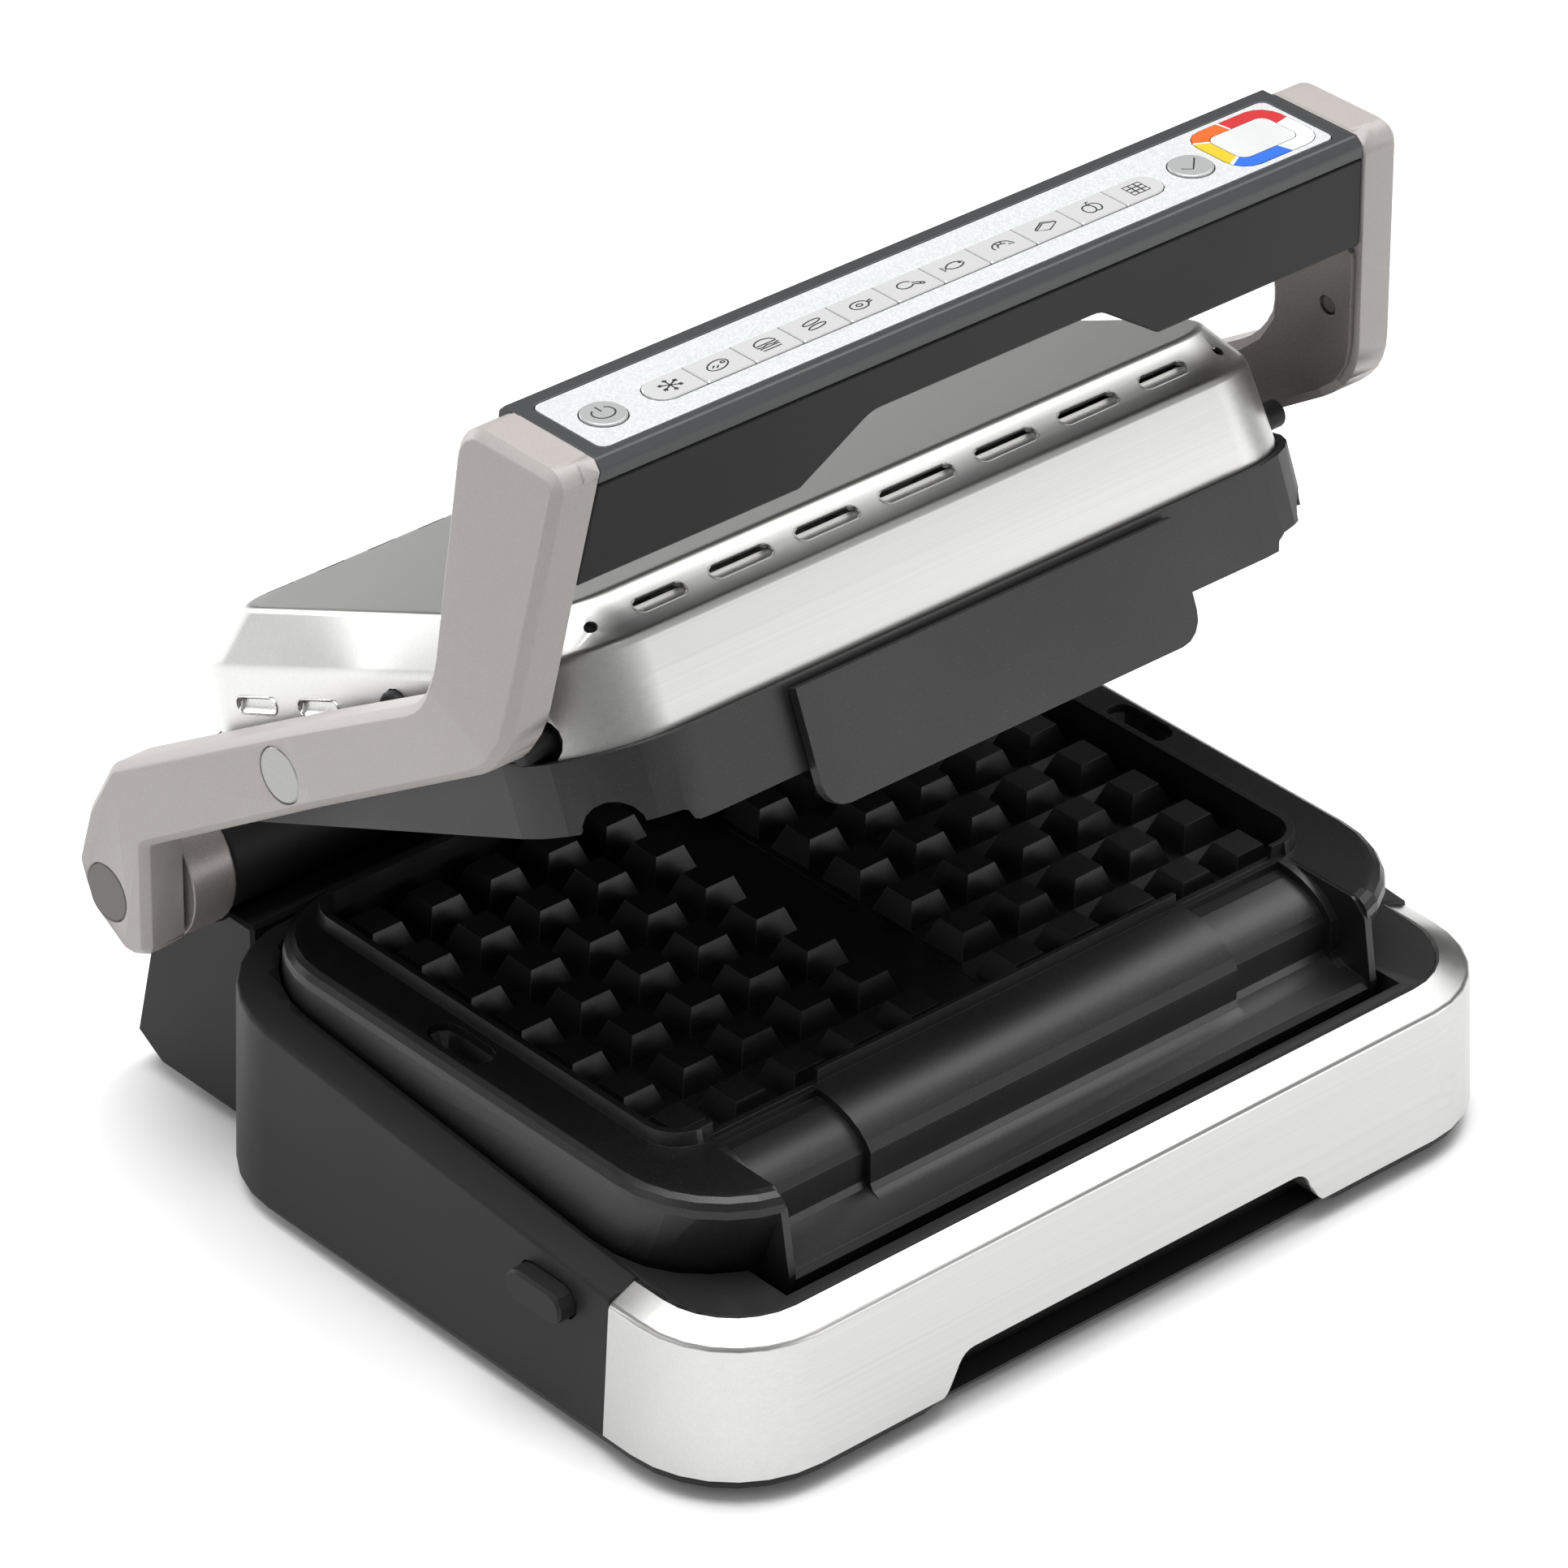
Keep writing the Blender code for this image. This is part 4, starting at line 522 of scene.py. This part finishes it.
def symbol_lines():
    """Plain line pictures, one list of strokes per key, in a box from -1 to 1."""
    snow = []
    for k in range(3):
        angle = math.radians(90 + 60 * k)
        ux, uy = math.cos(angle), math.sin(angle)
        snow.append([(-ux, -uy), (ux, uy)])
        for sign in (-1, 1):
            tip = (ux * 0.60 * sign, uy * 0.60 * sign)
            for spread in (-0.6, 0.6):
                a = angle + spread
                snow.append([tip, (tip[0] + math.cos(a) * 0.32 * sign,
                                   tip[1] + math.sin(a) * 0.32 * sign)])
    steak = [oval(-0.1, 0.0, 1.0, 0.66, lean=18), oval(0.45, 0.15, 0.18, 0.14),
             [(-0.7, -0.2), (-0.35, 0.1)], [(-0.4, -0.35), (-0.05, -0.05)]]
    bun = [[(-0.95, 0.15), *oval(0, 0.15, 0.95, 0.75, 170, 10, 14), (0.95, 0.15), (-0.95, 0.15)],
           [(-1.0, -0.1), (-0.5, -0.22), (0.0, -0.05), (0.5, -0.22), (1.0, -0.1)],
           [(-0.9, -0.4), (0.9, -0.4), (0.8, -0.78), (-0.8, -0.78), (-0.9, -0.4)]]
    links = [oval(0.0, 0.42, 0.85, 0.27, lean=8), oval(0.0, -0.38, 0.85, 0.27, lean=8)]
    ham = [oval(-0.2, 0.0, 0.78, 0.62), oval(-0.2, 0.0, 0.26, 0.2), [(0.55, 0.1), (1.0, 0.28)],
           [(0.55, -0.12), (1.0, 0.02)]]
    wing = [oval(-0.25, 0.1, 0.66, 0.55, 20, 330, 18), [(0.3, -0.18), (0.85, -0.55)],
            [(0.38, 0.12), (0.98, -0.3)], oval(0.98, -0.5, 0.16, 0.16)]
    fish = [oval(0.0, -0.55, 1.0, 1.05, 150, 35, 14), oval(0.0, 0.55, 1.0, 1.05, 210, 325, 14),
            [(-0.86, 0.0), (-1.15, 0.42), (-1.15, -0.42), (-0.86, 0.0)],
            oval(0.55, 0.12, 0.07, 0.07)]
    shrimp = [oval(0.1, -0.1, 0.85, 0.72, 200, 20, 14), oval(0.1, -0.12, 0.42, 0.34, 200, 20, 12),
              [(0.9, 0.15), (1.1, -0.35), (0.6, -0.2)], [(-0.2, 0.55), (-0.05, 0.2)],
              [(0.3, 0.6), (0.25, 0.22)]]
    layers = [[(-1.0, -0.1), (0.1, 0.62), (1.0, 0.05), (-0.1, -0.62), (-1.0, -0.1)],
              [(-1.0, 0.12), (0.1, 0.84), (1.0, 0.27)], [(-1.0, -0.1), (-1.0, 0.12)],
              [(1.0, 0.05), (1.0, 0.27)]]
    pepper = [oval(-0.28, -0.1, 0.5, 0.68), oval(0.28, -0.1, 0.5, 0.68, -120, 120, 16),
              [(0.0, 0.55), (0.1, 0.95), (0.35, 0.98)]]
    waffle = [[(-0.8, -0.8), (0.8, -0.8), (0.8, 0.8), (-0.8, 0.8), (-0.8, -0.8)]]
    for t in (-0.27, 0.27):
        waffle.append([(-0.8, t), (0.8, t)])
        waffle.append([(t, -0.8), (t, 0.8)])
    return [snow, steak, bun, links, ham, wing, fish, shrimp, layers, pepper, waffle]


def key_symbols(looks):
    """One line picture on each key, riding with the key."""
    pictures = {f"key_{i + 1:02d}": lines for i, lines in enumerate(symbol_lines())}
    pictures["power_button"] = [oval(0, 0, 0.9, 0.9, 125, 415, 24), [(0.0, 0.25), (0.0, 1.15)]]
    pictures["ok_button"] = [[(-0.95, 0.0), (-0.3, -0.7), (1.0, 0.8)]]
    for node, lines in pictures.items():
        low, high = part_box(node)
        centre = (low + high) / 2
        bm = bmesh.new()
        for k, line in enumerate(lines):
            closed = (Vector(line[0]) - Vector(line[-1])).length < 1e-6
            points = line[:-1] if closed else line
            stroke(bm, [(centre.x + u * SYMBOL_HALF * SYMBOL_STRETCH,
                         centre.y + v * SYMBOL_HALF) for u, v in points],
                   high.z - STROKE_SINK + STROKE_LAYER * k, closed)
        bmesh.ops.recalc_face_normals(bm, faces=bm.faces)
        piece_from(bm, f"symbol_{node}", looks["ink"], BODY_OF[node])


# ---- pressed slots of the lid ----------------------------------------------------------

def slot_shape(half, radius, steps=6):
    """A closed slot outline as (u, v) points, starting at its right end."""
    points = []
    for centre, start in ((half - radius, -90), (radius - half, 90)):
        for i in range(steps + 1):
            angle = math.radians(start + 180 * i / steps)
            points.append((centre + radius * math.cos(angle), radius * math.sin(angle)))
    return points


def tube_loop(bm, place, points, thickness, sides=6):
    """A closed round wire along (u, v) points of a plane."""
    count = len(points)
    rings = []
    for i, (u, v) in enumerate(points):
        before, after = points[i - 1], points[(i + 1) % count]
        out = Vector((after[1] - before[1], before[0] - after[0], 0.0)).normalized()
        ring = []
        for k in range(sides):
            angle = 2 * math.pi * k / sides
            at = Vector((u, v, 0.0)) + (out * math.cos(angle)
                                        + Vector((0, 0, math.sin(angle)))) * thickness
            ring.append(bm.verts.new(place @ at))
        rings.append(ring)
    for i in range(count):
        for k in range(sides):
            j, m = (i + 1) % count, (k + 1) % sides
            bm.faces.new((rings[i][k], rings[j][k], rings[j][m], rings[i][m]))


def grid_border(grid):
    """The outline of a grid of points, in order."""
    return ([*grid[0]] + [row[-1] for row in grid[1:]] + [*reversed(grid[-1])][1:]
            + [row[0] for row in reversed(grid)][1:-1])


def scoop(bm, place, half, radius, steps=8):
    """The tongue pressed inwards from a slot's lower edge."""
    rows = []
    for height_share, rise, depth, length_share in TONGUE_ROWS:
        row = []
        for i in range(2 * steps + 2):
            side = -1 if i <= steps else 1
            angle = math.radians(180 + 90 * (i if side < 0 else i - 1) / steps)
            u = (half - radius) * side + radius * math.cos(angle)
            row.append((u * length_share, radius * math.sin(angle) * height_share + rise, depth))
        rows.append(row)
    borders = []
    for thick in (0.0, -TONGUE_THICKNESS):
        grid = [[bm.verts.new(place @ Vector((u, v, w + thick))) for u, v, w in row]
                for row in rows]
        for low, high in zip(grid, grid[1:]):
            for i in range(len(low) - 1):
                bm.faces.new((low[i], low[i + 1], high[i + 1], high[i]))
        borders.append(grid_border(grid))
    outer, inner = borders
    for i in range(len(outer)):
        k = (i + 1) % len(outer)
        bm.faces.new((outer[i], outer[k], inner[k], inner[i]))


def lid_louvres(looks):
    """Raised rims and pressed tongues at the slots in the lid's front and sides."""
    rims, tongues = bmesh.new(), bmesh.new()
    places = []
    front = (Matrix.Translation(BEVEL_MIDDLE)
             @ Matrix.Rotation(math.radians(BEVEL_SLOPE), 4, "X"))
    for x, half in BEVEL_SLOTS:
        for sign in ((1,) if x == 0.0 else (-1, 1)):
            places.append((front @ Matrix.Translation((sign * x, 0.0, 0.0)), half))
    for sign in (-1, 1):
        wall = Matrix(((0.0, 0.0, sign, sign * WALL_X), (sign, 0.0, 0.0, 0.0),
                       (0.0, 1.0, 0.0, WALL_Z), (0.0, 0.0, 0.0, 1.0)))
        for y in WALL_SLOTS:
            places.append((wall @ Matrix.Translation((sign * y, 0.0, 0.0)), WALL_SLOT_HALF))
    for place, half in places:
        outline = slot_shape(half + RIM_OUT, RIM_RADIUS)
        tube_loop(rims, LID_PLACE @ place, outline, RIM_THICKNESS)
        scoop(tongues, LID_PLACE @ place, half - TONGUE_IN, TONGUE_RADIUS)
    for bm, name in ((rims, "lid_slot_rims"), (tongues, "lid_slot_tongues")):
        bmesh.ops.recalc_face_normals(bm, faces=bm.faces)
        piece_from(bm, name, looks["steel_detail"], "lid", 60.0)


# ---- studio ---------------------------------------------------------------------------

def soft_box(name, position, aim, size, power):
    """A rectangular area light that looks at a point."""
    data = bpy.data.lights.new(name, "AREA")
    data.shape = "RECTANGLE"
    data.size, data.size_y = size
    data.energy = power
    made = bpy.data.objects.new(name, data)
    bpy.context.scene.collection.objects.link(made)
    made.location = position
    toward = Vector(aim) - Vector(position)
    made.rotation_euler = toward.to_track_quat("-Z", "Y").to_euler()


def floor():
    """A plain pale paper floor."""
    bm = bmesh.new()
    bmesh.ops.create_grid(bm, x_segments=1, y_segments=1, size=FLOOR_HALF)
    mesh = bpy.data.meshes.new("floor")
    bm.to_mesh(mesh)
    bm.free()
    n = Nodes("floor_paper")
    n.set(Base_Color=n.ramp(n.noise(2.0), [(0.0, (0.90, 0.90, 0.90)), (1.0, (0.92, 0.92, 0.92))]),
          Roughness=0.85)
    mesh.materials.append(n.material)
    made = bpy.data.objects.new("floor", mesh)
    bpy.context.scene.collection.objects.link(made)


def surroundings():
    """A grey world whose brightness changes round the compass, for the steel to mirror."""
    world = bpy.data.worlds.new("studio")
    world.use_nodes = True
    tree = world.node_tree
    background = tree.nodes["Background"]
    background.inputs["Strength"].default_value = WORLD_STRENGTH
    place = tree.nodes.new("ShaderNodeTexCoord")
    toward = tree.nodes.new("ShaderNodeVectorMath")
    toward.operation = "DOT_PRODUCT"
    toward.inputs[1].default_value = WORLD_AXIS
    shade = tree.nodes.new("ShaderNodeValToRGB")
    while len(shade.color_ramp.elements) < len(WORLD_STOPS):
        shade.color_ramp.elements.new(0.5)
    for element, (position, level) in zip(shade.color_ramp.elements, WORLD_STOPS):
        element.position = position
        element.color = (level, level, level, 1.0)
    share = tree.nodes.new("ShaderNodeMapRange")
    share.inputs["From Min"].default_value = -1.0
    tree.links.new(place.outputs["Generated"], toward.inputs[0])
    tree.links.new(toward.outputs["Value"], share.inputs["Value"])
    tree.links.new(share.outputs["Result"], shade.inputs["Fac"])
    tree.links.new(shade.outputs["Color"], background.inputs["Color"])
    bpy.context.scene.world = world


def photograph_camera():
    """The camera at the photograph's place and angle."""
    data = bpy.data.cameras.new("camera")
    data.sensor_width = SENSOR_WIDTH
    data.lens = LENS
    data.clip_end = CLIP_END
    camera = bpy.data.objects.new("camera", data)
    bpy.context.scene.collection.objects.link(camera)
    right = Vector(CAMERA_RIGHT).normalized()
    back = Vector(CAMERA_BACK).normalized()
    up = back.cross(right).normalized()
    turn = Matrix((right, up, back)).transposed().to_4x4()
    camera.matrix_world = Matrix.Translation(CAMERA_PLACE) @ turn
    bpy.context.scene.camera = camera


def studio():
    """Floor, surroundings, soft boxes, camera and a plain view transform."""
    floor()
    surroundings()
    for settings in SOFT_BOXES:
        soft_box(*settings)
    photograph_camera()
    bpy.context.scene.view_settings.view_transform = "Standard"


def main():
    """Dress the frame and set the studio."""
    looks = make_looks()
    dress(looks)
    key_symbols(looks)
    lid_louvres(looks)
    studio()


main()
